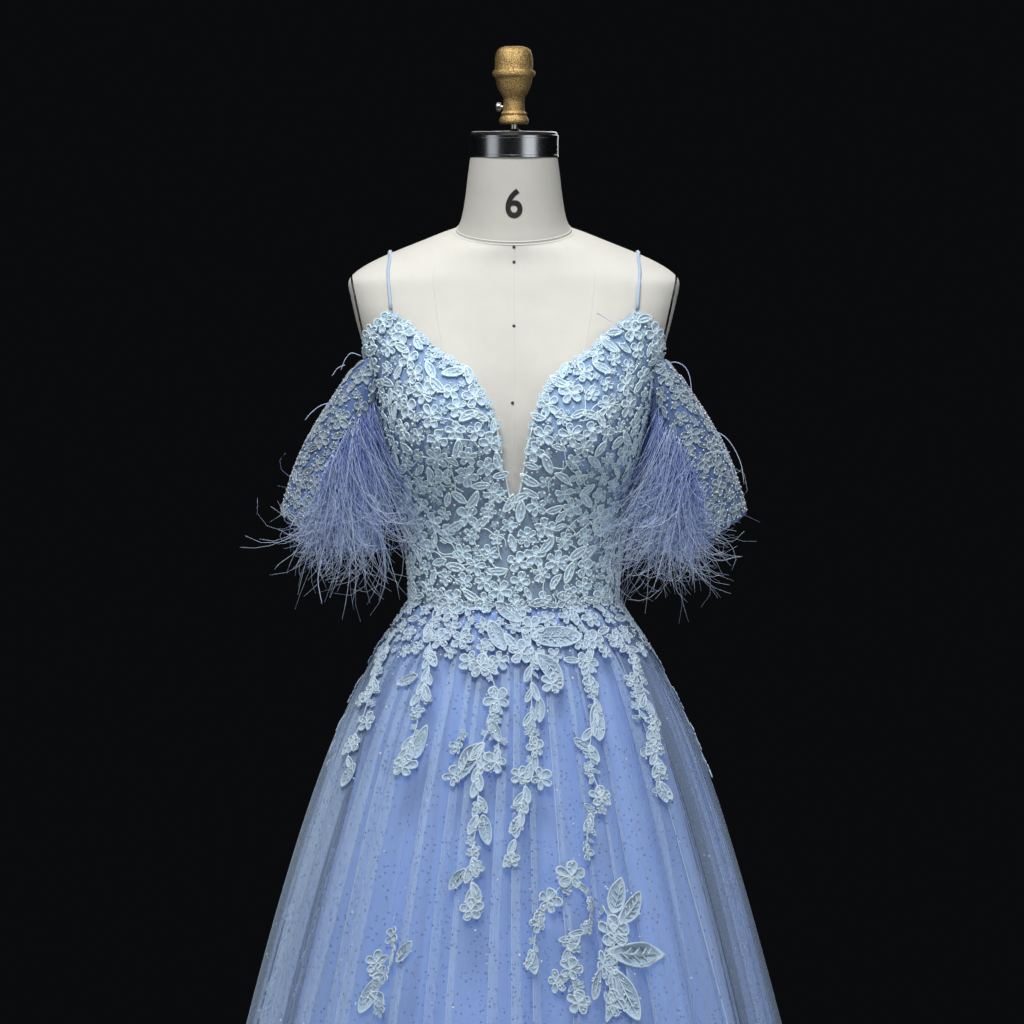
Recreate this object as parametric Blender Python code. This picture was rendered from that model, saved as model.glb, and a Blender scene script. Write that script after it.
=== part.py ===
"""Prom dress on a limbless dress form, at its real size.

A V-neck bodice of beaded lace on net, with satin cups, cord straps, loose sleeves trimmed with feather
fringe, and a floor-length skirt of pleated tulle over a satin one. The form stands on a pole and a round
base. Metres, +Z up. The front faces -Y, the wearer's left is +X, and the origin is on the floor under
the pole. Heights in the tables count from the waist, and a turn is an angle round the body in degrees:
0 at the centre front, 90 at the wearer's left side, 180 at the centre back.
"""

import math
from collections import namedtuple
from functools import lru_cache

import bmesh
import bpy
from mathutils import Matrix, Vector

# Driving sizes
WAIST = 1.06
HEM_CLEAR = 0.014
GAP = 0.0003
CLOTH = 0.0012
CUP_IN = 0.0012
CUP_OUT = 0.0026
BODICE_IN = 0.0038
BODICE_OUT = BODICE_IN + CLOTH
LACE_RISE = 0.0016
STRAP_RADIUS = 0.0020
STRAP_LIFT = STRAP_RADIUS + 0.0011
ZIP_HALF_WIDTH = 0.0016
ZIP_TO_AXIS = 0.095
DROP = WAIST - HEM_CLEAR
POLE_RADIUS = 0.016
BASE_RADIUS = 0.21
HUB_TOP = 0.060
COLLAR_HEIGHT = 0.012

# The form's sections, from the hip end up to the top of the neck
Level = namedtuple("Level", "height half_width front back square tilt")
BODY = (
    Level(-0.300, 0.152, 0.100, 0.124, 2.0, 0.00),
    Level(-0.200, 0.163, 0.107, 0.134, 2.0, 0.00),
    Level(-0.110, 0.154, 0.103, 0.124, 2.0, 0.00),
    Level(-0.045, 0.128, 0.097, 0.102, 2.0, 0.00),
    Level(0.000, 0.1165, 0.090, 0.091, 2.0, 0.00),
    Level(0.060, 0.1205, 0.093, 0.092, 2.0, 0.00),
    Level(0.130, 0.134, 0.101, 0.098, 2.0, 0.00),
    Level(0.200, 0.149, 0.105, 0.107, 2.1, 0.00),
    Level(0.260, 0.164, 0.099, 0.110, 2.4, 0.00),
    Level(0.310, 0.179, 0.086, 0.104, 2.9, 0.00),
    Level(0.350, 0.1885, 0.073, 0.093, 3.3, 0.02),
    Level(0.374, 0.1930, 0.066, 0.083, 3.3, 0.05),
    Level(0.386, 0.1800, 0.0630, 0.079, 2.8, 0.10),
    Level(0.398, 0.1570, 0.0605, 0.075, 2.4, 0.16),
    Level(0.4095, 0.1260, 0.0590, 0.070, 2.2, 0.22),
    Level(0.421, 0.0950, 0.0585, 0.066, 2.1, 0.27),
    Level(0.4306, 0.0680, 0.0580, 0.062, 2.0, 0.30),
    Level(0.4446, 0.0610, 0.0540, 0.058, 2.0, 0.26),
    Level(0.468, 0.0566, 0.0500, 0.056, 2.0, 0.17),
    Level(0.491, 0.0538, 0.0480, 0.055, 2.0, 0.11),
    Level(0.515, 0.0507, 0.0460, 0.0540, 2.0, 0.07),
)
NECK_SEAM = 0.4306
NECK_TOP = 0.515
FORM_END = -0.300
FORM_AROUND = 32
# The rings' heights, closer together where the form bends most
TRUNK_ROWS = (
    FORM_END, -0.20, -0.12, -0.07, -0.035, 0.0, 0.04, 0.08, 0.115, 0.14, 0.157, 0.173, 0.19, 0.207, 0.226,
    0.25, 0.28, 0.315, 0.35, 0.368, 0.379, 0.39, 0.40, 0.41, 0.42, NECK_SEAM,
)
NECK_ROWS = (NECK_SEAM + 0.0004, 0.458, 0.486, NECK_TOP)

# The bust: where its points are, how far they stand out, and how fast they fall away
BUST_X = 0.087
BUST_HEIGHT = 0.200
BUST_DEPTH = 0.035
BUST_SPREAD = 0.047
BUST_ABOVE = 0.062
BUST_BELOW = 0.045
CUP_EASE = 0.0005
BODICE_EASE = 0.0013

# The arm plates: where their face crosses the shoulder, its slope, the plate's thickness and its gap
PLATE_X = 0.1930
PLATE_HEIGHT = 0.378
PLATE_SLOPE = 0.2146
PLATE_FOOT = 0.230
PLATE_THICK = 0.0034
PLATE_GAP = 0.0026
STUD_DROP = 0.042

# The neck's fittings
BAND_RADIUS = 0.0512
BAND_HEIGHT = 0.0262
BAND_LIP = 0.0006
ROD_LENGTH = 0.0050
KNOB_WAIST = 0.0124
SCREW_HEIGHT = 0.0195
KNOB = (
    (0, 0), (0.0160, 0), (0.0172, 0.0040), (0.0140, 0.0100), (KNOB_WAIST, 0.0160),
    (KNOB_WAIST, 0.0240), (0.0150, 0.0370), (0.0208, 0.0535), (0.0248, 0.0570), (0.0246, 0.0605),
    (0.0220, 0.0630), (0.0214, 0.0760), (0.0160, 0.0855), (0, 0.0895),
)
SCREW = (
    (0, 0), (0.0022, 0), (0.0022, 0.0026), (0.0048, 0.0030), (0.0054, 0.0050), (0.0050, 0.0078),
    (0, 0.0084),
)

# The neckline's half width at each height, from the point of the V to the strap
Neck = namedtuple("Neck", "x height")
NECKLINE = (
    Neck(0.0000, 0.114),
    Neck(0.0078, 0.143),
    Neck(0.0135, 0.172),
    Neck(0.0212, 0.208),
    Neck(0.0290, 0.231),
    Neck(0.0415, 0.254),
    Neck(0.0618, 0.275),
    Neck(0.0865, 0.293),
    Neck(0.1120, 0.317),
    Neck(0.1300, 0.331),
    Neck(0.1395, 0.337),
)
# The bodice's top edge past the strap: the armhole, the side and the back
Edge = namedtuple("Edge", "turn height")
ARM_AND_BACK = (
    Edge(74.0, 0.308),
    Edge(82.0, 0.268),
    Edge(90.0, 0.226),
    Edge(104.0, 0.199),
    Edge(130.0, 0.178),
    Edge(180.0, 0.166),
)
# The cup's highest point, its two sides, and its lower edge by the turn
CUP_TOP = 0.285
CUP_SIDES = (17, 80)
CUP_EDGE = (
    Edge(14.0, 0.212),
    Edge(24.0, 0.180),
    Edge(40.0, 0.158),
    Edge(60.0, 0.156),
    Edge(84.0, 0.176),
)
# The lace's blooms: rows this far apart, the reach of each, how many go round, and the length of a degree
BLOOM_ROWS = 0.030
BLOOM_REACH = 0.0165
BLOOMS_ROUND = 26
DEGREE_LENGTH = 0.0021

# The strap's ends and the point where it crosses the shoulder, as x and height
STRAP_START = (0.1392, 0.3380)
STRAP_RIDGE = (0.1450, 0.3960)
STRAP_END = (0.0880, 0.1795)

# The zip's slider and the pull that hangs on its bridge
SLIDER_HEIGHT = 0.148
PULL_OUT = 0.0029
SLIDER = (
    ((-0.0030, 0, -0.0055), (0.0030, 0.0014, 0.0055)),
    ((-0.0008, 0.0010, 0.0022), (0.0008, 0.0050, 0.0034)),
    ((-0.0008, 0.0010, -0.0034), (0.0008, 0.0050, -0.0022)),
    ((-0.0008, 0.0040, -0.0036), (0.0008, 0.0052, 0.0036)),
)
PULL = (((-0.0026, -0.0005, -0.0200), (0.0026, 0.0005, 0.0006)),)
PULL_SLOT = (((-0.0013, -0.0030, -0.0056), (0.0013, 0.0030, -0.0006)),)

# Each skirt layer's outline: its reach to the side, front and back, and its folds' depth, by the drop
Flare = namedtuple("Flare", "drop side front back fold")
TULLE = (
    Flare(0.000, 0.1217, 0.0952, 0.0962, 0.0000),
    Flare(0.026, 0.1390, 0.1080, 0.1130, 0.0012),
    Flare(0.070, 0.1685, 0.1290, 0.1400, 0.0050),
    Flare(0.160, 0.2130, 0.1640, 0.1830, 0.0120),
    Flare(0.320, 0.2680, 0.2150, 0.2390, 0.0200),
    Flare(0.580, 0.3380, 0.2900, 0.3150, 0.0300),
    Flare(DROP, 0.4510, 0.4180, 0.4400, 0.0420),
)
SATIN = (
    Flare(0.000, 0.1201, 0.0936, 0.0946, 0.0000),
    Flare(0.050, 0.1400, 0.1095, 0.1175, 0.0010),
    Flare(0.120, 0.1640, 0.1270, 0.1440, 0.0040),
    Flare(0.250, 0.1980, 0.1550, 0.1760, 0.0090),
    Flare(0.480, 0.2560, 0.2070, 0.2280, 0.0160),
    Flare(DROP, 0.3760, 0.3320, 0.3560, 0.0260),
)
TULLE_FOLDS = 24
SATIN_FOLDS = 12
# A pleat's points, as the share of its width and of its depth
Pleat = namedtuple("Pleat", "across inward")
TULLE_PLEAT = (Pleat(0.00, 0.0), Pleat(0.30, 0.25), Pleat(0.60, 1.0), Pleat(0.82, 0.45))
SATIN_PLEAT = (Pleat(0.00, 0.0), Pleat(0.33, 0.6), Pleat(0.66, 0.8))
# The drops of each layer's rows of points, and the folds that each tulle panel spans
TULLE_DROPS = (GAP / 2, 0.050, 0.140, 0.320, 0.620, DROP)
SATIN_DROPS = (GAP / 2, 0.050, 0.120, 0.250, 0.480, DROP)
TULLE_PANELS = (("front", -6, 6), ("back_left", 6, 12), ("back_right", 12, 18))

# A sleeve's rings at the armhole, half way down and at the cuff: four points each, as x, y and height
Ring = namedtuple("Ring", "front outer back inner")
SLEEVE = (
    Ring((0.158, -0.056, 0.280), (0.198, 0.004, 0.252), (0.158, 0.066, 0.262), (0.160, 0.006, 0.200)),
    Ring((0.200, -0.066, 0.176), (0.243, 0.006, 0.182), (0.200, 0.078, 0.180), (0.160, 0.008, 0.140)),
    Ring((0.214, -0.056, 0.070), (0.270, 0.004, 0.104), (0.214, 0.068, 0.078), (0.154, 0.006, 0.058)),
)
SLEEVE_ACROSS = 20
SLEEVE_DOWN = 5
SLEEVE_WAVES = 5
SLEEVE_WAVE = 0.0022

# The fringe's strip along each sleeve, from the top of its inner side across the front to the cuff
Strip = namedtuple("Strip", "share around along length")
STRIP = (
    Strip(0.00, 132, 0.10, 0.215),
    Strip(0.25, 110, 0.30, 0.205),
    Strip(0.50, 84, 0.54, 0.165),
    Strip(0.78, 54, 0.80, 0.108),
    Strip(1.00, 34, 0.95, 0.066),
)
STRANDS = 34
STRIP_WIDTH = 0.0034
STRIP_LIFT = 0.0006
STRIP_THICK = 0.0016
STRAND_STEPS = 3
STRAND_OUT = 0.026
STRAND_SWAY = 0.0035

# Lace sprays sewn to the tulle: the turn and drop of the top, the length, the lean and the widest half width
Spray = namedtuple("Spray", "turn drop length lean half_width blooms")
SPRAYS = (
    Spray(-62.0, 0.060, 0.150, 0.000, 0.017, 2),
    Spray(-41.0, 0.020, 0.180, 0.004, 0.019, 2),
    Spray(-13.0, 0.070, 0.290, -0.010, 0.022, 3),
    Spray(9.0, 0.036, 0.268, -0.008, 0.021, 3),
    Spray(35.0, 0.020, 0.270, -0.026, 0.020, 3),
    Spray(63.0, 0.045, 0.190, -0.014, 0.018, 2),
    Spray(29.0, 0.322, 0.190, -0.006, 0.052, 2),
    Spray(-36.0, 0.385, 0.150, -0.010, 0.028, 2),
    Spray(140.0, 0.040, 0.250, 0.000, 0.020, 3),
    Spray(-140.0, 0.040, 0.250, 0.000, 0.020, 3),
)
SPRAY_LIFT = 0.0005
SPRAY_THICK = 0.0015
SPRAY_POINTS = 9
SPRAY_FACING = 0.55


# Reading the tables

@lru_cache(maxsize=None)
def slopes(xs, ys):
    """The curve's slope at each table row, held back so that it never overshoots a row."""
    steps = [(ys[i + 1] - ys[i]) / (xs[i + 1] - xs[i]) for i in range(len(xs) - 1)]
    found = [steps[0]]
    for before, after in zip(steps, steps[1:]):
        found.append(0.0 if before * after <= 0 else 2 * before * after / (before + after))
    return (*found, steps[-1])


def smooth(xs, ys, x):
    """A smooth curve through the rows (xs, ys), read at x."""
    x = min(max(x, xs[0]), xs[-1])
    row = next(i for i in range(len(xs) - 1) if x <= xs[i + 1])
    width = xs[row + 1] - xs[row]
    t = (x - xs[row]) / width
    slope = slopes(xs, ys)
    return (
        ys[row] * (1 + 2 * t) * (1 - t) ** 2
        + ys[row + 1] * t * t * (3 - 2 * t)
        + width * (slope[row] * t * (1 - t) ** 2 + slope[row + 1] * t * t * (t - 1))
    )


@lru_cache(maxsize=None)
def columns(table):
    return tuple(zip(*table))


@lru_cache(maxsize=None)
def row_at(table, key):
    """Every column of a table, read at a value of its first column."""
    first, *rest = columns(table)
    return [smooth(first, column, key) for column in rest]


def solve(function, low, high):
    """Where a function that falls from above zero to below it crosses zero."""
    for _ in range(40):
        middle = (low + high) / 2
        low, high = (middle, high) if function(middle) > 0 else (low, middle)
    return (low + high) / 2


# The body's surface

def oval(turn, half_width, front, back, square):
    """A point of a rounded section, on the ray at that turn."""
    across, ahead = math.sin(math.radians(turn)), math.cos(math.radians(turn))
    depth = front if ahead > 0 else back
    reach = (abs(across / half_width) ** square + abs(ahead / depth) ** square) ** (-1 / square)
    return reach * across, -reach * ahead


def bust(x, height):
    spread = BUST_ABOVE if height > BUST_HEIGHT else BUST_BELOW
    fall = ((abs(x) - BUST_X) / BUST_SPREAD) ** 2 + ((height - BUST_HEIGHT) / spread) ** 2
    return BUST_DEPTH * math.exp(-fall / 2)


def skin(turn, height):
    """The form's surface."""
    half_width, front, back, square, tilt = row_at(BODY, round(height, 6))
    x, y = oval(turn, half_width, front, back, square)
    ahead = min(max(math.cos(math.radians(turn)) / 0.4, 0.0), 1.0)
    y -= bust(x, height) * ahead * ahead * (3 - 2 * ahead)
    return Vector((x, y, WAIST + height + tilt * y))


def off_body(turn, height, out, ease=0.0):
    """A point a distance out from the form's surface, square to it, with some more ease over the bust."""
    here = skin(turn, height)
    out += ease * bust(here.x, height) / BUST_DEPTH if here.y < 0 else 0.0
    round_it = skin(turn + 0.5, height) - skin(turn - 0.5, height)
    up_it = skin(turn, height + 0.001) - skin(turn, height - 0.001)
    return here + round_it.cross(up_it).normalized() * out


def clear_of_dress(point, out):
    """The point, moved straight out from the body's middle where it comes nearer to the dress than out."""
    turn = math.degrees(math.atan2(point.x, -point.y))
    height = point.z - WAIST
    surface = skin(turn, height) if height > 0 else skirt_point(TULLE, turn, 0.0, -height)
    least = surface.xy.length + out + (BODICE_OUT + LACE_RISE if height > 0 else 0.0)
    reach = math.hypot(point.x, point.y)
    if reach >= least:
        return point.copy()
    return Vector((point.x * least / reach, point.y * least / reach, point.z))


def turn_of(x, height):
    """The turn, on the front, at which the surface is x from the centre."""
    return solve(lambda turn: x - skin(turn, height).x, 0.0, 90.0)


STRAP_TURN = turn_of(NECKLINE[-1].x, NECKLINE[-1].height)


def top_edge(turn):
    """The height of the bodice's top edge."""
    turn = abs(turn)
    if turn < STRAP_TURN:
        xs, heights = columns(NECKLINE)
        return solve(lambda height: smooth(xs, heights, skin(turn, height).x) - height, 0.10, 0.34)
    table = (Edge(STRAP_TURN, NECKLINE[-1].height), *ARM_AND_BACK)
    return row_at(table, turn)[0]


# Meshes, materials and joining

def material(name, colour, roughness, metallic=0.0, alpha=1.0):
    made = bpy.data.materials.new(name)
    made.use_nodes = True
    shader = made.node_tree.nodes["Principled BSDF"]
    shader.inputs["Base Color"].default_value = (*colour, 1.0)
    shader.inputs["Roughness"].default_value = roughness
    shader.inputs["Metallic"].default_value = metallic
    shader.inputs["Alpha"].default_value = alpha
    made.diffuse_color = (*colour, 1.0)
    return made


def place(name, mesh_of, finish, soft=True):
    """A named object from a bmesh, with its faces pointing out."""
    bmesh.ops.recalc_face_normals(mesh_of, faces=mesh_of.faces)
    mesh = bpy.data.meshes.new(name)
    mesh_of.to_mesh(mesh)
    mesh_of.free()
    if soft:
        mesh.shade_smooth()
        mesh.set_sharp_from_angle(angle=math.radians(50))
    mesh.materials.append(finish)
    made = bpy.data.objects.new(name, mesh)
    bpy.context.scene.collection.objects.link(made)
    return made


def stitch(mesh_of, one, other):
    """Triangles between two rows of points that may differ in number."""
    i, j = 0, 0
    while i < len(one) - 1 or j < len(other) - 1:
        ahead = (i + 1) / (len(one) - 1) <= (j + 1) / (len(other) - 1)
        if j == len(other) - 1 or (ahead and i < len(one) - 1):
            mesh_of.faces.new((one[i], one[i + 1], other[j]))
            i += 1
        else:
            mesh_of.faces.new((one[i], other[j + 1], other[j]))
            j += 1


def wall(name, outer, inner, finish, ring=False):
    """A closed wall of cloth between two grids of points. A ring's rows run all round."""
    made = bmesh.new()
    sides = [[[made.verts.new(p) for p in row] for row in grid] for grid in (outer, inner)]
    for grid in sides:
        for low, high in zip(grid, grid[1:]):
            for c in range(len(low) if ring else len(low) - 1):
                d = (c + 1) % len(low)
                made.faces.new((low[c], low[d], high[d]))
                made.faces.new((low[c], high[d], high[c]))
    front, behind = sides
    for end in (0, -1):
        close = 1 if ring else 0
        stitch(made, front[end] + front[end][:close], behind[end] + behind[end][:close])
        if not ring:
            stitch(made, [row[end] for row in front], [row[end] for row in behind])
    return place(name, made, finish)


def thicken(grid, thickness, ring):
    """Two grids, half the thickness to each side of a grid of points."""
    outer, inner = [], []
    for r, row in enumerate(grid):
        outer.append([])
        inner.append([])
        for c, point in enumerate(row):
            before = c - 1 if ring else max(c - 1, 0)
            after = (c + 1) % len(row) if ring else min(c + 1, len(row) - 1)
            round_it = row[after] - row[before]
            up_it = grid[min(r + 1, len(grid) - 1)][c] - grid[max(r - 1, 0)][c]
            out = round_it.cross(up_it).normalized() * thickness / 2
            outer[-1].append(point + out)
            inner[-1].append(point - out)
    return outer, inner


def turned(name, profile, finish, around=24, axis=None, sharp=35):
    """A turned piece from (radius, height) points, which start and end on its axis."""
    made = bmesh.new()
    ends = [made.verts.new((0, 0, profile[0][1])), made.verts.new((0, 0, profile[-1][1]))]
    rings = []
    for radius, height in profile[1:-1]:
        angles = [2 * math.pi * i / around for i in range(around)]
        points = [(radius * math.cos(a), radius * math.sin(a), height) for a in angles]
        rings.append([made.verts.new(p) for p in points])
    for low, high in zip(rings, rings[1:]):
        for i in range(around):
            j = (i + 1) % around
            made.faces.new((low[i], low[j], high[j], high[i]))
    for end, ring in zip(ends, (rings[0], rings[-1])):
        for i in range(around):
            made.faces.new((end, ring[i], ring[(i + 1) % around]))
    if axis:
        bmesh.ops.transform(made, matrix=axis, verts=made.verts)
    piece = place(name, made, finish)
    piece.data.set_sharp_from_angle(angle=math.radians(sharp))
    return piece


def combine(piece, helper, operation):
    """Joins, cuts or intersects a piece with a helper, and removes the helper."""
    modifier = piece.modifiers.new(operation, "BOOLEAN")
    modifier.operation = operation
    modifier.solver = "EXACT"
    modifier.object = helper
    graph = bpy.context.evaluated_depsgraph_get()
    mesh = bpy.data.meshes.new_from_object(piece.evaluated_get(graph))
    piece.modifiers.clear()
    piece.data = mesh
    bpy.data.objects.remove(helper)
    return piece


# The dress form

def form_rows(heights):
    """Rings round the form at those heights."""
    turns = [360 * i / FORM_AROUND for i in range(FORM_AROUND)]
    return [[skin(turn, height) for turn in turns] for height in heights]


def capped(name, rows, finish):
    """A solid through rings, closed at both ends by a fan to each end's middle."""
    made = bmesh.new()
    rings = [[made.verts.new(p) for p in row] for row in rows]
    for low, high in zip(rings, rings[1:]):
        for i in range(len(low)):
            j = (i + 1) % len(low)
            made.faces.new((low[i], low[j], high[j], high[i]))
    for ring, row in ((rings[0], rows[0]), (rings[-1], rows[-1])):
        middle = made.verts.new(sum(row, Vector()) / len(row))
        for i in range(len(ring)):
            made.faces.new((ring[i], ring[(i + 1) % len(ring)], middle))
    return place(name, made, finish)


def build_form(linen, chrome, black, gold, steel):
    whole = capped("form_torso", form_rows(TRUNK_ROWS), linen)
    for side, word in ((1, "left"), (-1, "right")):
        build_arm_plate(f"arm_plate_{word}", whole, side, linen)
        shoulder_cut(whole, side, PLATE_THICK + PLATE_GAP, True)
    capped("form_neck", form_rows(NECK_ROWS), linen)
    build_neck_fittings(chrome, black, gold, steel)


def shoulder_cut(piece, side, depth, keep_body):
    """Cuts a piece off square, a depth inside the arm plate's sloping face. Keeps the body or the plate."""
    made = bmesh.new()
    made.from_mesh(piece.data)
    out = Vector((side, 0, -PLATE_SLOPE)).normalized()
    through = Vector((side * PLATE_X, 0, WAIST + PLATE_HEIGHT)) - out * depth

    def at_shoulder(face):
        middle = face.calc_center_median()
        return side * middle.x > PLATE_X / 2 and middle.z > WAIST + PLATE_FOOT

    upper = [face for face in made.faces if at_shoulder(face)]
    geometry = {part for face in upper for part in (face, *face.edges, *face.verts)}
    bmesh.ops.bisect_plane(made, geom=list(geometry), dist=1e-6, plane_co=through, plane_no=out)
    beyond = {f for f in made.faces if at_shoulder(f) and (f.calc_center_median() - through).dot(out) > 0}
    unwanted = beyond if keep_body else set(made.faces) - beyond
    bmesh.ops.delete(made, geom=list(unwanted), context="FACES")
    bmesh.ops.holes_fill(made, edges=[e for e in made.edges if e.is_boundary])
    bmesh.ops.recalc_face_normals(made, faces=made.faces)
    made.to_mesh(piece.data)
    made.free()
    piece.data.update()


def build_arm_plate(name, whole, side, linen):
    """The plate over the arm hole, with a stud that holds it off the shoulder."""
    plate = bpy.data.objects.new(name, whole.data.copy())
    bpy.context.scene.collection.objects.link(plate)
    shoulder_cut(plate, side, PLATE_THICK, False)
    out = Vector((side, 0, -PLATE_SLOPE)).normalized()
    middle = Vector((side * PLATE_X, 0.002, WAIST + PLATE_HEIGHT))
    middle -= Vector((side * PLATE_SLOPE, 0, 1)) * STUD_DROP + out * PLATE_THICK
    lean = Matrix.Translation(middle) @ out.to_track_quat("Z", "Y").to_matrix().to_4x4()
    stud_low, stud_top = GAP - PLATE_GAP, PLATE_THICK / 2
    profile = [(0, stud_low), (0.008, stud_low), (0.008, stud_top), (0, stud_top)]
    stud = turned("stud", profile, linen, 12, lean)
    combine(plate, stud, "UNION")


def neck_axis():
    """A frame on top of the neck, tilted as the neck's top is."""
    half_width, front, back, square, tilt = BODY[-1][1:]
    middle = Vector((0, (back - front) / 2, WAIST + NECK_TOP + tilt * (back - front) / 2))
    return Matrix.Translation(middle) @ Matrix.Rotation(math.atan(tilt), 4, "X")


def build_neck_fittings(chrome, black, gold, steel):
    """The bright band round the neck's top, its black cap, and the knob on its rod with a clamp screw."""
    axis = neck_axis()
    rim = BAND_RADIUS + BAND_LIP
    band = [
        (0, GAP), (BAND_RADIUS, GAP), (rim, 0.001), (rim, BAND_HEIGHT - 0.001), (BAND_RADIUS, BAND_HEIGHT),
        (0, BAND_HEIGHT),
    ]
    turned("neck_band", band, chrome, 24, axis)
    cap_low = BAND_HEIGHT + GAP
    cap = [
        (0, 0), (0.0500, 0), (0.0500, 0.0022), (0.0470, 0.0034), (0.0075, 0.0040), (0.0060, 0.0064),
        (0, 0.0064),
    ]
    turned("neck_cap", [(radius, cap_low + height) for radius, height in cap], black, 24, axis)
    rod_low = cap_low + cap[-1][1] + GAP
    rod = [(0, rod_low), (0.0035, rod_low), (0.0035, rod_low + ROD_LENGTH), (0, rod_low + ROD_LENGTH)]
    turned("knob_rod", rod, steel, 12, axis)
    knob_low = rod_low + ROD_LENGTH + GAP
    turned("knob", [(radius, knob_low + height) for radius, height in KNOB], gold, 16, axis)
    root = Matrix.Translation((-KNOB_WAIST - GAP, 0, knob_low + SCREW_HEIGHT))
    sideways = root @ Matrix.Rotation(math.radians(-90), 4, "Y")
    turned("knob_screw", SCREW, steel, 12, axis @ sideways)


def build_stand(iron, steel):
    """A pole in a round base whose underside rests flat on the floor."""
    base = [
        (0, 0), (BASE_RADIUS - 0.002, 0), (BASE_RADIUS, 0.002), (BASE_RADIUS, 0.006),
        (BASE_RADIUS - 0.004, 0.008), (0.060, 0.014), (0.034, 0.022), (0.030, 0.032),
        (0.030, HUB_TOP - 0.004), (0.026, HUB_TOP), (0, HUB_TOP),
    ]
    turned("stand_base", base, iron, 28)
    collar_low = WAIST + FORM_END - GAP - COLLAR_HEIGHT
    collar_top = collar_low + COLLAR_HEIGHT
    pole = [
        (0, HUB_TOP + GAP), (POLE_RADIUS, HUB_TOP + GAP), (POLE_RADIUS, collar_low - 0.030),
        (0.024, collar_low - 0.028), (0.024, collar_low - 0.002), (0.050, collar_low),
        (0.052, collar_low + 0.004), (0.052, collar_top), (0, collar_top),
    ]
    turned("stand_pole", pole, steel, 20)


# The bodice

def blooms_rise(turn, height):
    """How far the lace stands out: a dome on each bloom, the blooms in staggered rows all round."""
    row = round(height / BLOOM_ROWS)
    best = 1.0
    for near in (row - 1, row, row + 1):
        step = 360 / BLOOMS_ROUND
        shift = step / 2 if near % 2 else 0.0
        centre = round((turn - shift) / step) * step + shift
        away = math.hypot((turn - centre) * DEGREE_LENGTH, height - near * BLOOM_ROWS) / BLOOM_REACH
        best = min(best, away)
    return LACE_RISE * (1 - best * best * (3 - 2 * best))


def bodice_panel(name, turns, rows, plain_rows, finish, low=GAP / 2, edge_gap=GAP / 2):
    """A panel from the waist to the top edge, with the lace raised on it over a plain inside."""
    outer = [[] for _ in range(rows + 1)]
    inner = [[] for _ in range(plain_rows + 1)]
    for c, turn in enumerate(turns):
        top = top_edge(turn)
        step = {0: 1, len(turns) - 1: -1}.get(c, 0)
        inwards = math.copysign(1, turns[-1] - turns[0]) * step
        for grid, count, out in ((outer, rows, BODICE_OUT), (inner, plain_rows, BODICE_IN)):
            for r in range(count + 1):
                height = low + (top - low) * r / count
                trim = math.degrees(edge_gap / skin(turn, height).xy.length)
                rise = blooms_rise(turn, height) if grid is outer and 0 < r < count and not step else 0.0
                grid[r].append(off_body(turn + inwards * trim, height, out + rise, BODICE_EASE))
    return wall(name, outer, inner, finish)


def build_bodice(net, satin, side, word):
    """One side of the bodice: front, cup, back and strap. Side is 1 for the wearer's left."""
    neck_x = [0.0, 0.006, 0.011, 0.017, 0.025, 0.035, 0.046, 0.060, 0.077, 0.095, 0.112, 0.127]
    turns = [turn_of(x, smooth(*columns(NECKLINE), x)) for x in neck_x] + [STRAP_TURN]
    spare = 90 - STRAP_TURN
    turns += [STRAP_TURN + spare * share for share in (0.2, 0.45, 0.7, 1.0)]
    bodice_panel(f"bodice_front_{word}", [side * turn for turn in turns], 18, 18, net)
    zip_turn = 180 - math.degrees((ZIP_HALF_WIDTH + GAP) / ZIP_TO_AXIS)
    back_turns = [90 + (zip_turn - 90) * i / 9 for i in range(10)]
    bodice_panel(f"bodice_back_{word}", [side * turn for turn in back_turns], 11, 6, net)
    build_cup(f"cup_{word}", side, satin)


def build_cup(name, side, satin):
    """A moulded satin cup between the form and the net."""
    rows, steps = 8, 8
    first, last = CUP_SIDES
    turns = [first + (last - first) * i / steps for i in range(steps + 1)]
    outer, inner = [[] for _ in range(rows + 1)], [[] for _ in range(rows + 1)]
    for turn in turns:
        low = row_at(CUP_EDGE, turn)[0]
        top = min(top_edge(turn) - 0.003, CUP_TOP)
        for r in range(rows + 1):
            height = low + (top - low) * r / rows
            outer[r].append(off_body(side * turn, height, CUP_OUT, CUP_EASE))
            inner[r].append(off_body(side * turn, height, CUP_IN, CUP_EASE))
    return wall(name, outer, inner, satin)


def on_side(x, height, behind):
    """The turn at which the surface is x from the centre, on the front or the back."""
    if not behind:
        return turn_of(x, height)
    return 180 - solve(lambda turn: x - skin(180 - turn, height).x, 0.0, 90.0)


def tube(name, route, radius, sides, finish):
    """A round cord along a route of points, closed at both ends."""
    made = bmesh.new()
    rings = []
    for i, point in enumerate(route):
        ahead = (route[min(i + 1, len(route) - 1)] - route[max(i - 1, 0)]).normalized()
        across = (Vector((1, 0, 0)) - ahead * ahead.x).normalized()
        over = ahead.cross(across)
        turns = [2 * math.pi * k / sides for k in range(sides)]
        ways = [across * math.cos(turn) + over * math.sin(turn) for turn in turns]
        rings.append([made.verts.new(point + way * radius) for way in ways])
    for low, high in zip(rings, rings[1:]):
        for i in range(sides):
            j = (i + 1) % sides
            made.faces.new((low[i], low[j], high[j], high[i]))
    made.faces.new(rings[0])
    made.faces.new(rings[-1])
    return place(name, made, finish)


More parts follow.
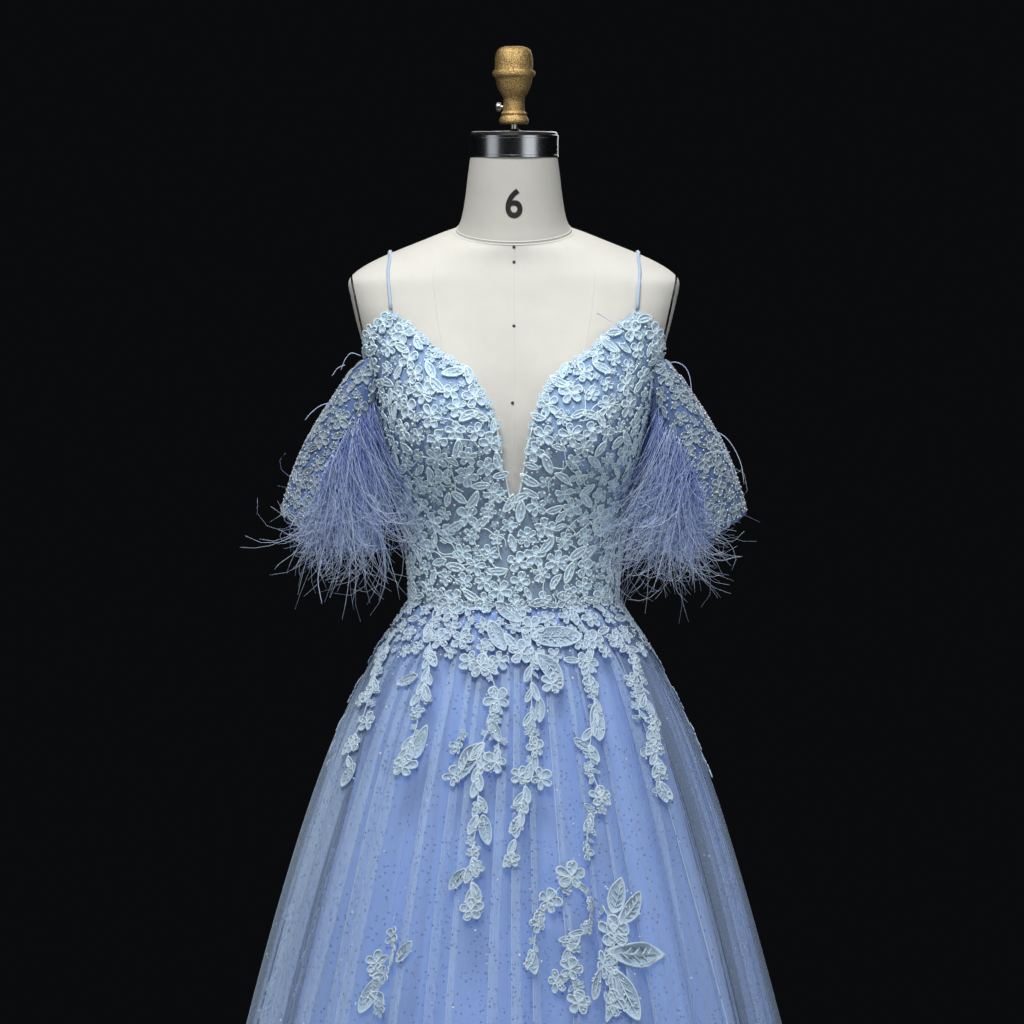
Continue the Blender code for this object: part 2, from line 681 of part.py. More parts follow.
def build_strap(name, side, satin):
    """A round strap from the front point over the shoulder to the back's top edge."""
    top = solve(lambda height: skin(90, height).x - STRAP_RIDGE[0], 0.38, 0.43)
    route = []
    runs = ((False, STRAP_START, STRAP_RIDGE, 6), (True, STRAP_RIDGE, STRAP_END, 12))
    for behind, one, other, steps in runs:
        for i in range(steps + 1):
            quarter = math.pi / 2 * i / steps
            share = 1 - math.cos(quarter) if behind else math.sin(quarter)
            x = one[0] + (other[0] - one[0]) * share
            height = one[1] + (other[1] - one[1]) * share
            route.append(off_body(on_side(x, height, behind), height, STRAP_LIFT))
        if not behind:
            route += [off_body(turn, top, STRAP_LIFT) for turn in (82, 90, 98)]
    kept = [route[0]]
    for point in route[1:]:
        if (point - kept[-1]).length > 2.6 * STRAP_RADIUS:
            kept.append(point)
    return tube(name, [Vector((side * p.x, p.y, p.z)) for p in kept], STRAP_RADIUS, 6, satin)


# The zip at the centre back

def box_in(made, low, high):
    """Adds a box between two corners to a mesh."""
    low, high = Vector(low), Vector(high)
    size = Matrix.Diagonal((*(high - low), 1))
    bmesh.ops.create_cube(made, size=1.0, matrix=Matrix.Translation((low + high) / 2) @ size)


def small_part(name, boxes, holes, finish, at):
    """A small metal part of joined boxes, less its holes, set in place by its frame."""
    made = bmesh.new()
    box_in(made, *boxes[0])
    part = place(name, made, finish, soft=False)
    for operation, extra in (("UNION", boxes[1:]), ("DIFFERENCE", holes)):
        for corners in extra:
            helper = bmesh.new()
            box_in(helper, *corners)
            combine(part, place("helper", helper, finish, soft=False), operation)
    part.matrix_world = at
    return part


def build_zip(coil, steel):
    """A closed coil between the back panels, a slider with a bridge, and the pull that swings on it."""
    rows = 8
    outer, inner = [], []
    reach = math.degrees(ZIP_HALF_WIDTH / ZIP_TO_AXIS)
    for r in range(rows + 1):
        height = 0.001 + (top_edge(180) - 0.0015) * r / rows
        for grid, out in ((outer, BODICE_OUT), (inner, BODICE_IN)):
            grid.append([off_body(turn, height, out) for turn in (180 - reach, 180, 180 + reach)])
    wall("zip_coil", outer, inner, coil)
    lean = skin(180, SLIDER_HEIGHT + 0.01) - skin(180, SLIDER_HEIGHT - 0.01)
    upright = Matrix.Rotation(math.atan2(-lean.y, lean.z), 4, "X")
    base = Matrix.Translation(off_body(180, SLIDER_HEIGHT, BODICE_OUT + GAP)) @ upright
    small_part("zip_slider", SLIDER, (), steel, base)
    small_part("zip_pull", PULL, PULL_SLOT, steel, base @ Matrix.Translation((0, PULL_OUT, 0)))


# The sleeves and their fringe

def sleeve_middle(side, around, along):
    """A point on a sleeve's cloth. Around is 0 at the outer side and 90 at the front."""
    angle = math.radians(around)
    points = []
    for ring in SLEEVE:
        front, outer, back, inner = map(Vector, ring)
        sides, ends = (outer + inner) / 2, (front + back) / 2
        centre, bend = (sides + ends) / 2, (sides - ends) / 2
        points.append(
            centre
            + (outer - inner) / 2 * math.cos(angle)
            + (front - back) / 2 * math.sin(angle)
            + bend * math.cos(2 * angle)
        )
    top, middle, cuff = points
    point = top * (1 - along) * (1 - 2 * along)
    point += middle * 4 * along * (1 - along)
    point += cuff * along * (2 * along - 1)
    wave = SLEEVE_WAVE * (0.35 + 0.65 * along) * math.sin(SLEEVE_WAVES * angle)
    centre = sum(points, Vector()) / 3
    point += Vector((point.x - centre.x, point.y - centre.y, 0)).normalized() * wave
    point.z += WAIST
    point = clear_of_dress(point, CLOTH / 2 + GAP)
    return Vector((side * point.x, point.y, point.z))


def off_sleeve(side, around, along, out):
    """A point a distance out from the middle of the sleeve's cloth, and the way out."""
    along = min(max(along, 0.01), 0.99)
    here = sleeve_middle(side, around, along)
    round_it = sleeve_middle(side, around + 2, along) - sleeve_middle(side, around - 2, along)
    down_it = sleeve_middle(side, around, along + 0.01) - sleeve_middle(side, around, along - 0.01)
    away = round_it.cross(down_it).normalized() * side
    return here + away * out, away


def build_sleeve(name, side, net):
    grid = []
    for r in range(SLEEVE_DOWN + 1):
        along = 1 - r / SLEEVE_DOWN
        grid.append([sleeve_middle(side, 360 * c / SLEEVE_ACROSS, along) for c in range(SLEEVE_ACROSS)])
    outer, inner = thicken(grid, CLOTH, True)
    return wall(name, outer, inner, net, ring=True)


def strand_path(root, away, length, index, side):
    """The points down a strand: forward from its root, then down under its own weight."""
    layer = 0.6 + 0.35 * (index % 2)
    sway = STRAND_SWAY * math.sin(index * 0.9)
    forward = (away * 0.6 + Vector((-0.35 * side, -0.8, 0))).normalized()
    across = forward.cross(Vector((0, 0, 1)))
    fall = length * (0.88 + 0.12 * math.cos(index * 1.7))
    points = []
    for step in range(1, STRAND_STEPS + 1):
        share = step / STRAND_STEPS
        out = STRAND_OUT * layer * math.sin(min(share * 1.9, math.pi / 2))
        point = root + forward * out + across * sway * share * share
        point.z -= fall * share**1.25
        points.append(clear_of_dress(point, 0.006))
    return points


def build_fringe(name, side, feather):
    """A narrow strip on the sleeve whose lower face carries the strands, drawn out of it one by one."""
    count = 2 * STRANDS + 1
    made = bmesh.new()
    rings, ways, lengths = [], [], []
    for i in range(count + 1):
        around, along, length = row_at(STRIP, i / count)
        near, away = off_sleeve(side, around, along, CLOTH / 2 + STRIP_LIFT)
        down = Vector((0, 0, -1))
        down = (down - away * down.dot(away)).normalized() * STRIP_WIDTH / 2
        far = near + away * STRIP_THICK
        rings.append([made.verts.new(p) for p in (near - down, far - down, far + down, near + down)])
        ways.append(away)
        lengths.append(length)
    for first, second in zip(rings, rings[1:]):
        for k in range(4):
            made.faces.new((first[k], first[(k + 1) % 4], second[(k + 1) % 4], second[k]))
    made.faces.new(rings[0])
    made.faces.new(rings[-1])
    bmesh.ops.recalc_face_normals(made, faces=made.faces)
    for s in range(STRANDS):
        first, second = rings[2 * s + 1], rings[2 * s + 2]
        low_edge = {first[2], first[3], second[3], second[2]}
        face = next(f for f in first[2].link_faces if set(f.verts) == low_edge)
        root = face.calc_center_median()
        for step, target in enumerate(strand_path(root, ways[2 * s + 1], lengths[2 * s + 1], s, side)):
            face = bmesh.ops.extrude_discrete_faces(made, faces=[face])["faces"][0]
            middle = face.calc_center_median()
            thin = 0.62 if step == 0 else 0.80
            for vertex in face.verts:
                vertex.co = target + (vertex.co - middle) * thin
    return place(name, made, feather, soft=False)


# The skirt

def skirt_turn(fold, folds):
    """The turn of a fold's crest, with the folds' widths made a little uneven."""
    turn = 360 * fold / folds
    return turn + 2.2 * math.sin(math.radians(4 * turn)) + 0.9 * math.sin(math.radians(10 * turn))


def skirt_point(table, turn, inward, drop, out=0.0):
    side, front, back, fold = row_at(table, drop)
    x, y = oval(turn, side, front, back, 2.0)
    reach = math.hypot(x, y)
    share = (reach - fold * inward + out) / reach
    return Vector((x * share, y * share, WAIST - drop))


def skirt_columns(folds, pleat, low, high):
    """Every column between two folds, as its turn and how far in it lies."""
    found = []
    for fold in range(low, high):
        here, after = skirt_turn(fold, folds), skirt_turn(fold + 1, folds)
        lively = 0.72 + 0.28 * math.sin(fold * 2.7)
        found += [(here + (after - here) * point.across, point.inward * lively) for point in pleat]
    return found + [(skirt_turn(high, folds), 0.0)]


def skirt_grid(table, drops, places, out, open_ends):
    """Rows of points down a skirt layer. A panel's two ends stop half a seam gap short."""
    grid = []
    for drop in drops:
        row = []
        for c, (turn, inward) in enumerate(places):
            step = {0: 1, len(places) - 1: -1}.get(c, 0) if open_ends else 0
            radius = skirt_point(table, turn, inward, drop).xy.length
            trimmed = turn + step * math.degrees(GAP * 0.6 / radius)
            row.append(skirt_point(table, trimmed, inward, drop, out))
        grid.append(row)
    return grid


def build_skirt(tulle, satin):
    for word, low, high in TULLE_PANELS:
        places = skirt_columns(TULLE_FOLDS, TULLE_PLEAT, low, high)
        outer = skirt_grid(TULLE, TULLE_DROPS, places, 0.0, True)
        inner = skirt_grid(TULLE, TULLE_DROPS, places, -CLOTH, True)
        wall(f"skirt_tulle_{word}", outer, inner, tulle)
    places = skirt_columns(SATIN_FOLDS, SATIN_PLEAT, 0, SATIN_FOLDS)[:-1]
    outer = skirt_grid(SATIN, SATIN_DROPS, places, 0.0, False)
    inner = skirt_grid(SATIN, SATIN_DROPS, places, -CLOTH, False)
    wall("skirt_satin", outer, inner, satin, ring=True)


def spray_outline(spray):
    """A spray's outline, down one side and up the other: blooms and leaves along a stem."""
    left, right = [], []
    for i in range(SPRAY_POINTS):
        share = i / (SPRAY_POINTS - 1)
        swell = abs(math.sin(math.pi * spray.blooms * share))
        taper = 1 - 0.45 * share
        middle = spray.lean * share + 0.006 * math.sin(2 * math.pi * share)
        width = 0.004 + (spray.half_width - 0.004) * swell * taper
        lean = 0.35 * math.sin(2.6 * i)
        left.append((middle - width * (1 + lean), -spray.length * share))
        right.append((middle + width * (1 - lean), -spray.length * share))
    return left + right[::-1]


def build_spray(name, spray, lace):
    """A spray cut out of a thin layer that lies on the tulle, fold for fold."""
    turn = math.radians(spray.turn)
    out = Vector((math.sin(turn), -math.cos(turn), 0))
    across = Vector((math.cos(turn), math.sin(turn), 0))
    near = []
    for _, low, high in TULLE_PANELS:
        places = skirt_columns(TULLE_FOLDS, TULLE_PLEAT, low, high)
        facing = [p for p in places if math.cos(math.radians(p[0]) - turn) > SPRAY_FACING]
        near = max(near, facing, key=len)
    layer = wall(
        name,
        skirt_grid(TULLE, TULLE_DROPS, near, SPRAY_LIFT + SPRAY_THICK, False),
        skirt_grid(TULLE, TULLE_DROPS, near, SPRAY_LIFT, False),
        lace,
    )
    top = Vector((0, 0, WAIST - spray.drop))
    cutter = bmesh.new()
    rings = []
    for reach in (0.02, 0.60):
        near_top = top + out * reach
        outline = [near_top + across * x + Vector((0, 0, z)) for x, z in spray_outline(spray)]
        rings.append([cutter.verts.new(p) for p in outline])
    cutter.faces.new(rings[0])
    cutter.faces.new(rings[1])
    for i in range(len(rings[0])):
        j = (i + 1) % len(rings[0])
        cutter.faces.new((rings[0][i], rings[0][j], rings[1][j], rings[1][i]))
    bmesh.ops.triangulate(cutter, faces=[f for f in cutter.faces if len(f.verts) > 4])
    helper = place("cutter", cutter, lace, soft=False)
    return combine(layer, helper, "INTERSECT")


# Everything together

def main():
    for old in list(bpy.data.objects):
        bpy.data.objects.remove(old)
    linen = material("linen", (0.76, 0.75, 0.70), 0.85)
    chrome = material("chrome", (0.62, 0.63, 0.65), 0.12, 1.0)
    black = material("black_enamel", (0.02, 0.02, 0.02), 0.3)
    gold = material("antique_gold", (0.46, 0.29, 0.10), 0.4, 1.0)
    steel = material("steel", (0.55, 0.55, 0.56), 0.25, 1.0)
    iron = material("cast_iron", (0.05, 0.05, 0.055), 0.5, 0.6)
    net = material("lace_on_net", (0.36, 0.50, 0.66), 0.7)
    satin = material("satin", (0.32, 0.42, 0.75), 0.45)
    tulle = material("glitter_tulle", (0.36, 0.46, 0.76), 0.7, 0.0, 0.5)
    lace = material("corded_lace", (0.46, 0.62, 0.76), 0.6)
    feather = material("feather", (0.32, 0.42, 0.72), 0.8)
    coil = material("zip_coil", (0.32, 0.42, 0.72), 0.5)
    build_form(linen, chrome, black, gold, steel)
    build_stand(iron, steel)
    for side, word in ((1, "left"), (-1, "right")):
        build_bodice(net, satin, side, word)
        build_strap(f"strap_{word}", side, satin)
        build_sleeve(f"sleeve_{word}", side, net)
        build_fringe(f"fringe_{word}", side, feather)
    build_zip(coil, steel)
    build_skirt(tulle, satin)
    for number, spray in enumerate(SPRAYS, 1):
        build_spray(f"spray_{number:02d}", spray, lace)


main()
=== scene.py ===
# %% [markdown]
# # A lace and tulle prom dress on its dress form
# This lesson dresses a plain CAD model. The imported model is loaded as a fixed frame, and each soft part
# gets its cloth, lace, beads and feathers on top of the solid that holds its place. The frame comes
# first, because every new piece is measured from it and rides on one of its bodies.

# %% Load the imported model
import math
from collections import namedtuple
from contextlib import contextmanager

import bpy
import numpy as np
from mathutils import Matrix, Vector
from mathutils.bvhtree import BVHTree


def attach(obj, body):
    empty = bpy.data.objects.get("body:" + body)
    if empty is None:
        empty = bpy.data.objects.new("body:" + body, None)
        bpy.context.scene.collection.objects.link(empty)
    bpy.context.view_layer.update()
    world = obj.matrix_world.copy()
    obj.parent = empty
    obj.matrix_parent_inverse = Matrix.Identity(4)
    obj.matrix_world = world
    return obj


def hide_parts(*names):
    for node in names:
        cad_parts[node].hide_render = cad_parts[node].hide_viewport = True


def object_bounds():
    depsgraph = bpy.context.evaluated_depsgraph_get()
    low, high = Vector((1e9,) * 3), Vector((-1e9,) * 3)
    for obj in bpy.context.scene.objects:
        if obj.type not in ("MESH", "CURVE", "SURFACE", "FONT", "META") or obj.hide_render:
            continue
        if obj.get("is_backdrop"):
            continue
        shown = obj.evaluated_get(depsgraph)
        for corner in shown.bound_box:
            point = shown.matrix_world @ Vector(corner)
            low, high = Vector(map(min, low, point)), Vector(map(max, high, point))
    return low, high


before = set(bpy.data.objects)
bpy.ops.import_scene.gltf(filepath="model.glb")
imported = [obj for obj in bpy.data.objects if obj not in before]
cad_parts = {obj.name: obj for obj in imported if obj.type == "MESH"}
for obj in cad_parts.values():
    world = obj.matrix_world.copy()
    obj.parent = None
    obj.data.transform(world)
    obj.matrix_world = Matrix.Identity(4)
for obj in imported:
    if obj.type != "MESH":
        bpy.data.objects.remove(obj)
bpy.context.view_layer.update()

GOWN = "gown_and_form"

# %% [markdown]
# ## The camera
# The camera comes before the cloth, because a few motifs are placed by where the photograph shows them.
# It stands a little above the bust and looks slightly down, with a long lens, so the form keeps its
# true proportions. A helper gives the line of sight through a point of the picture.

# %% Camera and lines of sight
WAIST = 1.06
PICTURE = 1024
CAMERA_AIM = Vector((-0.0022, 0.0, 1.163))
CAMERA_DISTANCE = 3.2
CAMERA_RISE = math.radians(3.5)
LENS = 96.2
SENSOR = 36.0

camera_data = bpy.data.cameras.new("camera")
camera_data.lens = LENS
camera_data.sensor_width = SENSOR
camera = bpy.data.objects.new("camera", camera_data)
bpy.context.scene.collection.objects.link(camera)
TOWARD_CAMERA = Vector((0, -math.cos(CAMERA_RISE), math.sin(CAMERA_RISE)))
camera.location = CAMERA_AIM + TOWARD_CAMERA * CAMERA_DISTANCE
camera.rotation_euler = TOWARD_CAMERA.to_track_quat("Z", "Y").to_euler()
bpy.context.scene.camera = camera
PICTURE_UP = Vector((0, math.sin(CAMERA_RISE), math.cos(CAMERA_RISE)))


def sight(x, y):
    """The way from the camera through a point of the picture, in pixels from its top left corner."""
    half = SENSOR / 2 / LENS
    across = (2 * x / PICTURE - 1) * half
    up = (1 - 2 * y / PICTURE) * half
    return (Vector((across, 0, 0)) + PICTURE_UP * up - TOWARD_CAMERA).normalized()


print("camera at", [round(c, 3) for c in camera.location])

# %% [markdown]
# ## The body's surface
# The gown is fitted, so nearly all of it follows the dress form. The form is described once, by a table
# of its sections, and a turn is an angle round it: 0 at the centre front, 90 at the wearer's left, 180 at
# the centre back. The same few rows also carry the net, the cups, the straps and the lace, which is why
# they all fit each other without any nudging.

# %% Smooth lines through table rows
def curve(xs, ys):
    """A smooth line through points that never overshoots one of them, as a function of x."""
    xs, ys = np.array(xs, float), np.array(ys, float)
    steps = np.diff(ys) / np.diff(xs)
    before, after = steps[:-1], steps[1:]
    total = np.where(before + after == 0, 1, before + after)
    inner = np.where(before * after > 0, 2 * before * after / total, 0)
    slope = np.concatenate([steps[:1], inner, steps[-1:]])

    def read(x):
        x = np.clip(x, xs[0], xs[-1])
        i = np.clip(np.searchsorted(xs, x, side="right") - 1, 0, len(xs) - 2)
        width = xs[i + 1] - xs[i]
        t = (x - xs[i]) / width
        ends = ys[i] * (1 + 2 * t) * (1 - t) ** 2 + ys[i + 1] * t * t * (3 - 2 * t)
        return ends + width * (slope[i] * t * (1 - t) ** 2 + slope[i + 1] * t * t * (t - 1))

    return read


def table_curves(rows):
    """One curve for each column of a table after its first."""
    first, *rest = zip(*rows)
    return [curve(first, column) for column in rest]


# %% The form's sections
# Height from the waist, half width, front, back, how square the section is, and the tilt of its ring
BODY = (
    (-0.300, 0.152, 0.100, 0.124, 2.0, 0.00), (-0.200, 0.163, 0.107, 0.134, 2.0, 0.00),
    (-0.110, 0.154, 0.103, 0.124, 2.0, 0.00), (-0.045, 0.128, 0.097, 0.102, 2.0, 0.00),
    (0.000, 0.1165, 0.090, 0.091, 2.0, 0.00), (0.060, 0.1205, 0.093, 0.092, 2.0, 0.00),
    (0.130, 0.134, 0.101, 0.098, 2.0, 0.00), (0.200, 0.149, 0.105, 0.107, 2.1, 0.00),
    (0.260, 0.164, 0.099, 0.110, 2.4, 0.00), (0.310, 0.179, 0.086, 0.104, 2.9, 0.00),
    (0.350, 0.1885, 0.073, 0.093, 3.3, 0.02), (0.374, 0.1930, 0.066, 0.083, 3.3, 0.05),
    (0.386, 0.1800, 0.0630, 0.079, 2.8, 0.10), (0.398, 0.1570, 0.0605, 0.075, 2.4, 0.16),
    (0.4095, 0.1260, 0.0590, 0.070, 2.2, 0.22), (0.421, 0.0950, 0.0585, 0.066, 2.1, 0.27),
    (0.4306, 0.0680, 0.0580, 0.062, 2.0, 0.30), (0.4446, 0.0610, 0.0540, 0.058, 2.0, 0.26),
    (0.468, 0.0566, 0.0500, 0.056, 2.0, 0.17), (0.491, 0.0538, 0.0480, 0.055, 2.0, 0.11),
    (0.515, 0.0507, 0.0460, 0.0540, 2.0, 0.07),
)
FORM_END, NECK_SEAM, NECK_TOP = -0.300, 0.4306, 0.515
SHOULDER_FROM, SHOULDER_TO, SHOULDER_FADE, SHOULDER_REACH = 0.342, 0.428, 0.014, 0.0055


def rounded(line):
    """The line of a table with the corner at the shoulder rounded off."""
    step, beside, margin = 0.0005, 40, 0.02
    heights = np.arange(FORM_END - margin, NECK_TOP + margin, step)
    values = line(np.clip(heights, FORM_END, NECK_TOP))
    near = np.arange(-beside, beside + 1)
    window = np.exp(-0.5 * (near * step / SHOULDER_REACH) ** 2)
    soft = np.convolve(np.pad(values, beside, mode="edge"), window / window.sum(), "valid")
    risen = np.clip((heights - SHOULDER_FROM) / SHOULDER_FADE, 0, 1)
    share = risen * np.clip((SHOULDER_TO - heights) / SHOULDER_FADE, 0, 1)
    values = values + (soft - values) * share * share * (3 - 2 * share)
    return lambda height: np.interp(height, heights, values)


HALF_WIDTH, FRONT, BACK, SQUARE, TILT = (rounded(line) for line in table_curves(BODY))
BUST_X, BUST_HEIGHT, BUST_DEPTH = 0.087, 0.200, 0.035
BUST_SPREAD, BUST_ABOVE, BUST_BELOW = 0.047, 0.062, 0.045


def oval(turn, half_width, front, back, square):
    """Points of a rounded section, on the rays at those turns."""
    across, ahead = np.sin(np.radians(turn)), np.cos(np.radians(turn))
    depth = np.where(ahead > 0, front, back)
    reach = (abs(across / half_width) ** square + abs(ahead / depth) ** square) ** (-1 / square)
    return reach * across, -reach * ahead


def bust(x, height):
    """How far the bust stands out of the section."""
    spread = np.where(height > BUST_HEIGHT, BUST_ABOVE, BUST_BELOW)
    fall = ((abs(x) - BUST_X) / BUST_SPREAD) ** 2 + ((height - BUST_HEIGHT) / spread) ** 2
    return BUST_DEPTH * np.exp(-fall / 2)


def skin(turn, height):
    """The form's surface, for whole arrays of turns and heights at once."""
    turn, height = np.broadcast_arrays(np.asarray(turn, float), np.asarray(height, float))
    x, y = oval(turn, HALF_WIDTH(height), FRONT(height), BACK(height), SQUARE(height))
    ahead = np.clip(np.cos(np.radians(turn)) / 0.4, 0, 1)
    y = y - bust(x, height) * ahead * ahead * (3 - 2 * ahead)
    return np.stack([x, y, WAIST + height + TILT(height) * y], -1)


def unit(vectors):
    return vectors / np.maximum(np.linalg.norm(vectors, axis=-1, keepdims=True), 1e-12)


def off_body(turn, height, out, ease=0.0):
    """Points a distance out from the form, square to it, with some more ease over the bust."""
    here = skin(turn, height)
    out = out + np.where(here[..., 1] < 0, ease * bust(here[..., 0], height) / BUST_DEPTH, 0)
    round_it = skin(np.asarray(turn) + 0.5, height) - skin(np.asarray(turn) - 0.5, height)
    up_it = skin(turn, np.asarray(height) + 0.001) - skin(turn, np.asarray(height) - 0.001)
    return here + unit(np.cross(round_it, up_it)) * np.asarray(out)[..., None]


def solve(function, low, high, shape):
    """Where a function that falls from above zero to below it crosses zero, for whole arrays."""
    low, high = np.full(shape, low, float), np.full(shape, high, float)
    for _ in range(32):
        middle = (low + high) / 2
        above = function(middle) > 0
        low, high = np.where(above, middle, low), np.where(above, high, middle)
    return (low + high) / 2


# %% The gown's top edge
# The neckline as half width and height, then the armhole and back as turn and height
NECKLINE = (
    (0.0000, 0.114), (0.0078, 0.143), (0.0135, 0.172), (0.0212, 0.208), (0.0290, 0.231),
    (0.0415, 0.254), (0.0618, 0.275), (0.0865, 0.293), (0.1120, 0.317), (0.1300, 0.331),
    (0.1395, 0.337),
)
ARM_AND_BACK = ((74.0, 0.308), (82.0, 0.268), (90.0, 0.226), (104.0, 0.199), (130.0, 0.178), (180.0, 0.166))
neckline_height, = table_curves(NECKLINE)
STRAP_TURN = float(solve(lambda turn: NECKLINE[-1][0] - skin(turn, NECKLINE[-1][1])[..., 0], 0, 90, ()))
side_height, = table_curves(((STRAP_TURN, NECKLINE[-1][1]), *ARM_AND_BACK))
EDGE_TURNS = np.linspace(0, 180, 1441)
front_edge = solve(lambda h: neckline_height(skin(EDGE_TURNS, h)[..., 0]) - h, 0.10, 0.34, EDGE_TURNS.shape)
EDGE_HEIGHTS = np.where(EDGE_TURNS < STRAP_TURN, front_edge, side_height(EDGE_TURNS))


def top_edge(turn):
    """The height of the bodice's top edge."""
    return np.interp(np.abs(turn), EDGE_TURNS, EDGE_HEIGHTS)


print("strap at turn", round(STRAP_TURN, 1))

# %% [markdown]
# ## Helpers for sheets, turned pieces and joined meshes
# A sheet of cloth starts as a grid primitive, and each of its points is moved to its place. A turned
# piece, such as the knob, starts as a disc that is extruded and scaled from row to row, as on a lathe.
# Small things that repeat are modelled once and copied into one joined mesh, which keeps the scene light.

# %% Helpers
def fresh():
    """Nothing selected, so that an operator acts on the new piece alone."""
    bpy.ops.object.select_all(action="DESELECT")


def choose(*pieces):
    """Only these pieces selected, and the first of them active."""
    fresh()
    for piece in pieces:
        piece.select_set(True)
    bpy.context.view_layer.objects.active = pieces[0]


@contextmanager
def edit_mode(action="SELECT"):
    """Edit mode for a few lines, with all or nothing selected. None leaves the selection as it is."""
    bpy.ops.object.mode_set(mode="EDIT")
    if action:
        bpy.ops.mesh.select_all(action=action)
    yield
    bpy.ops.object.mode_set(mode="OBJECT")


def face_outwards():
    bpy.ops.mesh.select_all(action="SELECT")
    bpy.ops.mesh.normals_make_consistent(inside=False)


def piece_of(name, material, body=GOWN, stands_for=(), slot=None, made=None):
    """Names the piece, gives it its finish and puts it on its body."""
    made = made or bpy.context.object
    made.name = made.data.name = name
    made.data.materials.clear()
    made.data.materials.append(material)
    if stands_for:
        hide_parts(*stands_for)
    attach(made, body)
    print(f"{name}: {len(made.data.polygons)} faces")
    return made


def sheet_of(points, closed=False, **values):
    """A sheet through rows of points, with named values. Closed joins its side edges into a tube."""
    rows, columns = points.shape[:2]
    fresh()
    bpy.ops.mesh.primitive_grid_add(x_subdivisions=columns - 1, y_subdivisions=rows - 1, size=1)
    sheet = bpy.context.object
    flat = np.empty(len(sheet.data.vertices) * 3)
    sheet.data.vertices.foreach_get("co", flat)
    flat = flat.reshape(-1, 3)
    column = np.rint((flat[:, 0] + 0.5) * (columns - 1)).astype(int)
    row = np.rint((flat[:, 1] + 0.5) * (rows - 1)).astype(int)
    sheet.data.vertices.foreach_set("co", points[row, column].ravel())
    for label, value in values.items():
        attribute = sheet.data.attributes.new(label, "FLOAT", "POINT")
        attribute.data.foreach_set("value", value[row, column].astype(np.float32))
    sheet.data.update()
    if closed:
        with edit_mode():
            bpy.ops.mesh.remove_doubles(threshold=1e-6)
    bpy.ops.object.shade_smooth()
    return sheet


def area_of(piece):
    return sum(face.area for face in piece.data.polygons)


def lathe(profile, around=64, outline=None, sharp=35):
    """A disc, extruded and scaled from row to row of a profile of (radius, height)."""
    fresh()
    radius, height = profile[0]
    bpy.ops.mesh.primitive_circle_add(vertices=around, radius=radius, fill_type="NGON", location=(0, 0, height))
    bpy.ops.object.transform_apply()
    if outline:
        for vertex in bpy.context.object.data.vertices:
            x, y = outline(math.atan2(vertex.co.y, vertex.co.x))
            vertex.co = (x * radius, y * radius, vertex.co.z)
    with edit_mode():
        for next_radius, next_height in profile[1:]:
            rise = {"value": (0, 0, next_height - height)}
            bpy.ops.mesh.extrude_region_move(TRANSFORM_OT_translate=rise)
            share = next_radius / radius
            bpy.ops.transform.resize(value=(share, share, 1), center_override=(0, 0, next_height))
            radius, height = next_radius, next_height
        face_outwards()
    bpy.ops.object.shade_smooth_by_angle(angle=math.radians(sharp))
    return bpy.context.object


def joined(points, triangles, **values):
    """One mesh from arrays of points and triangles, with a named value for each point."""
    mesh = bpy.data.meshes.new("joined")
    mesh.vertices.add(len(points))
    mesh.vertices.foreach_set("co", np.asarray(points, np.float32).ravel())
    mesh.loops.add(triangles.size)
    mesh.loops.foreach_set("vertex_index", triangles.astype(np.int32).ravel())
    mesh.polygons.add(len(triangles))
    mesh.polygons.foreach_set("loop_start", np.arange(0, triangles.size, 3, dtype=np.int32))
    for name, value in values.items():
        attribute = mesh.attributes.new(name, "FLOAT", "POINT")
        attribute.data.foreach_set("value", np.asarray(value, np.float32))
    mesh.update(calc_edges=True)
    mesh.shade_smooth()
    made = bpy.data.objects.new("joined", mesh)
    bpy.context.scene.collection.objects.link(made)
    return made


def tubes(paths, radii, sides):
    """Many tapered tubes at once: points, triangles, and how far along its tube each point is."""
    count, steps, _ = paths.shape
    ahead = unit(np.gradient(paths, axis=1))
    helper = np.where(abs(ahead[..., 2:]) > 0.8, np.array([1.0, 0, 0]), np.array([0, 0, 1.0]))
    across = unit(np.cross(ahead, helper))
    over = np.cross(ahead, across)
    angles = 2 * np.pi * np.arange(sides) / sides
    ring = across[:, :, None] * np.cos(angles)[:, None] + over[:, :, None] * np.sin(angles)[:, None]
    points = paths[:, :, None] + ring * radii[:, :, None, None]
    index = np.arange(count * steps * sides).reshape(count, steps, sides)
    low, high = index[:, :-1], index[:, 1:]
    low_next, high_next = np.roll(low, -1, 2), np.roll(high, -1, 2)
    walls = [np.stack([low, high, high_next], -1), np.stack([low, high_next, low_next], -1)]
    ends = []
    for k in range(1, sides - 1):
        ends.append(np.stack([index[:, 0, 0], index[:, 0, k], index[:, 0, k + 1]], -1))
        ends.append(np.stack([index[:, -1, 0], index[:, -1, k + 1], index[:, -1, k]], -1))
    triangles = np.concatenate([w.reshape(-1, 3) for w in walls] + ends)
    along = np.broadcast_to(np.linspace(0, 1, steps)[None, :, None], (count, steps, sides))
    return points.reshape(-1, 3), triangles, along.ravel()


# %% [markdown]
# ## Finishes
# Cloth, net, glitter and worn metal are each a small pattern that several materials share, so each is a
# node group with named inputs, built once. The patterns read object coordinates in metres: the pieces
# sit unmoved at the origin, and the threads keep one real size all over the gown.

# %% Helpers for shader nodes
def add(tree, kind, inputs=None, **settings):
    """A new node. An input that is a socket is linked, and any other value is set."""
    made = tree.nodes.new(kind)
    for key, value in settings.items():
        setattr(made, key, value)
    for key, value in (inputs or {}).items():
        if isinstance(value, bpy.types.NodeSocket):
            tree.links.new(value, made.inputs[key])
        else:
            made.inputs[key].default_value = value
    return made


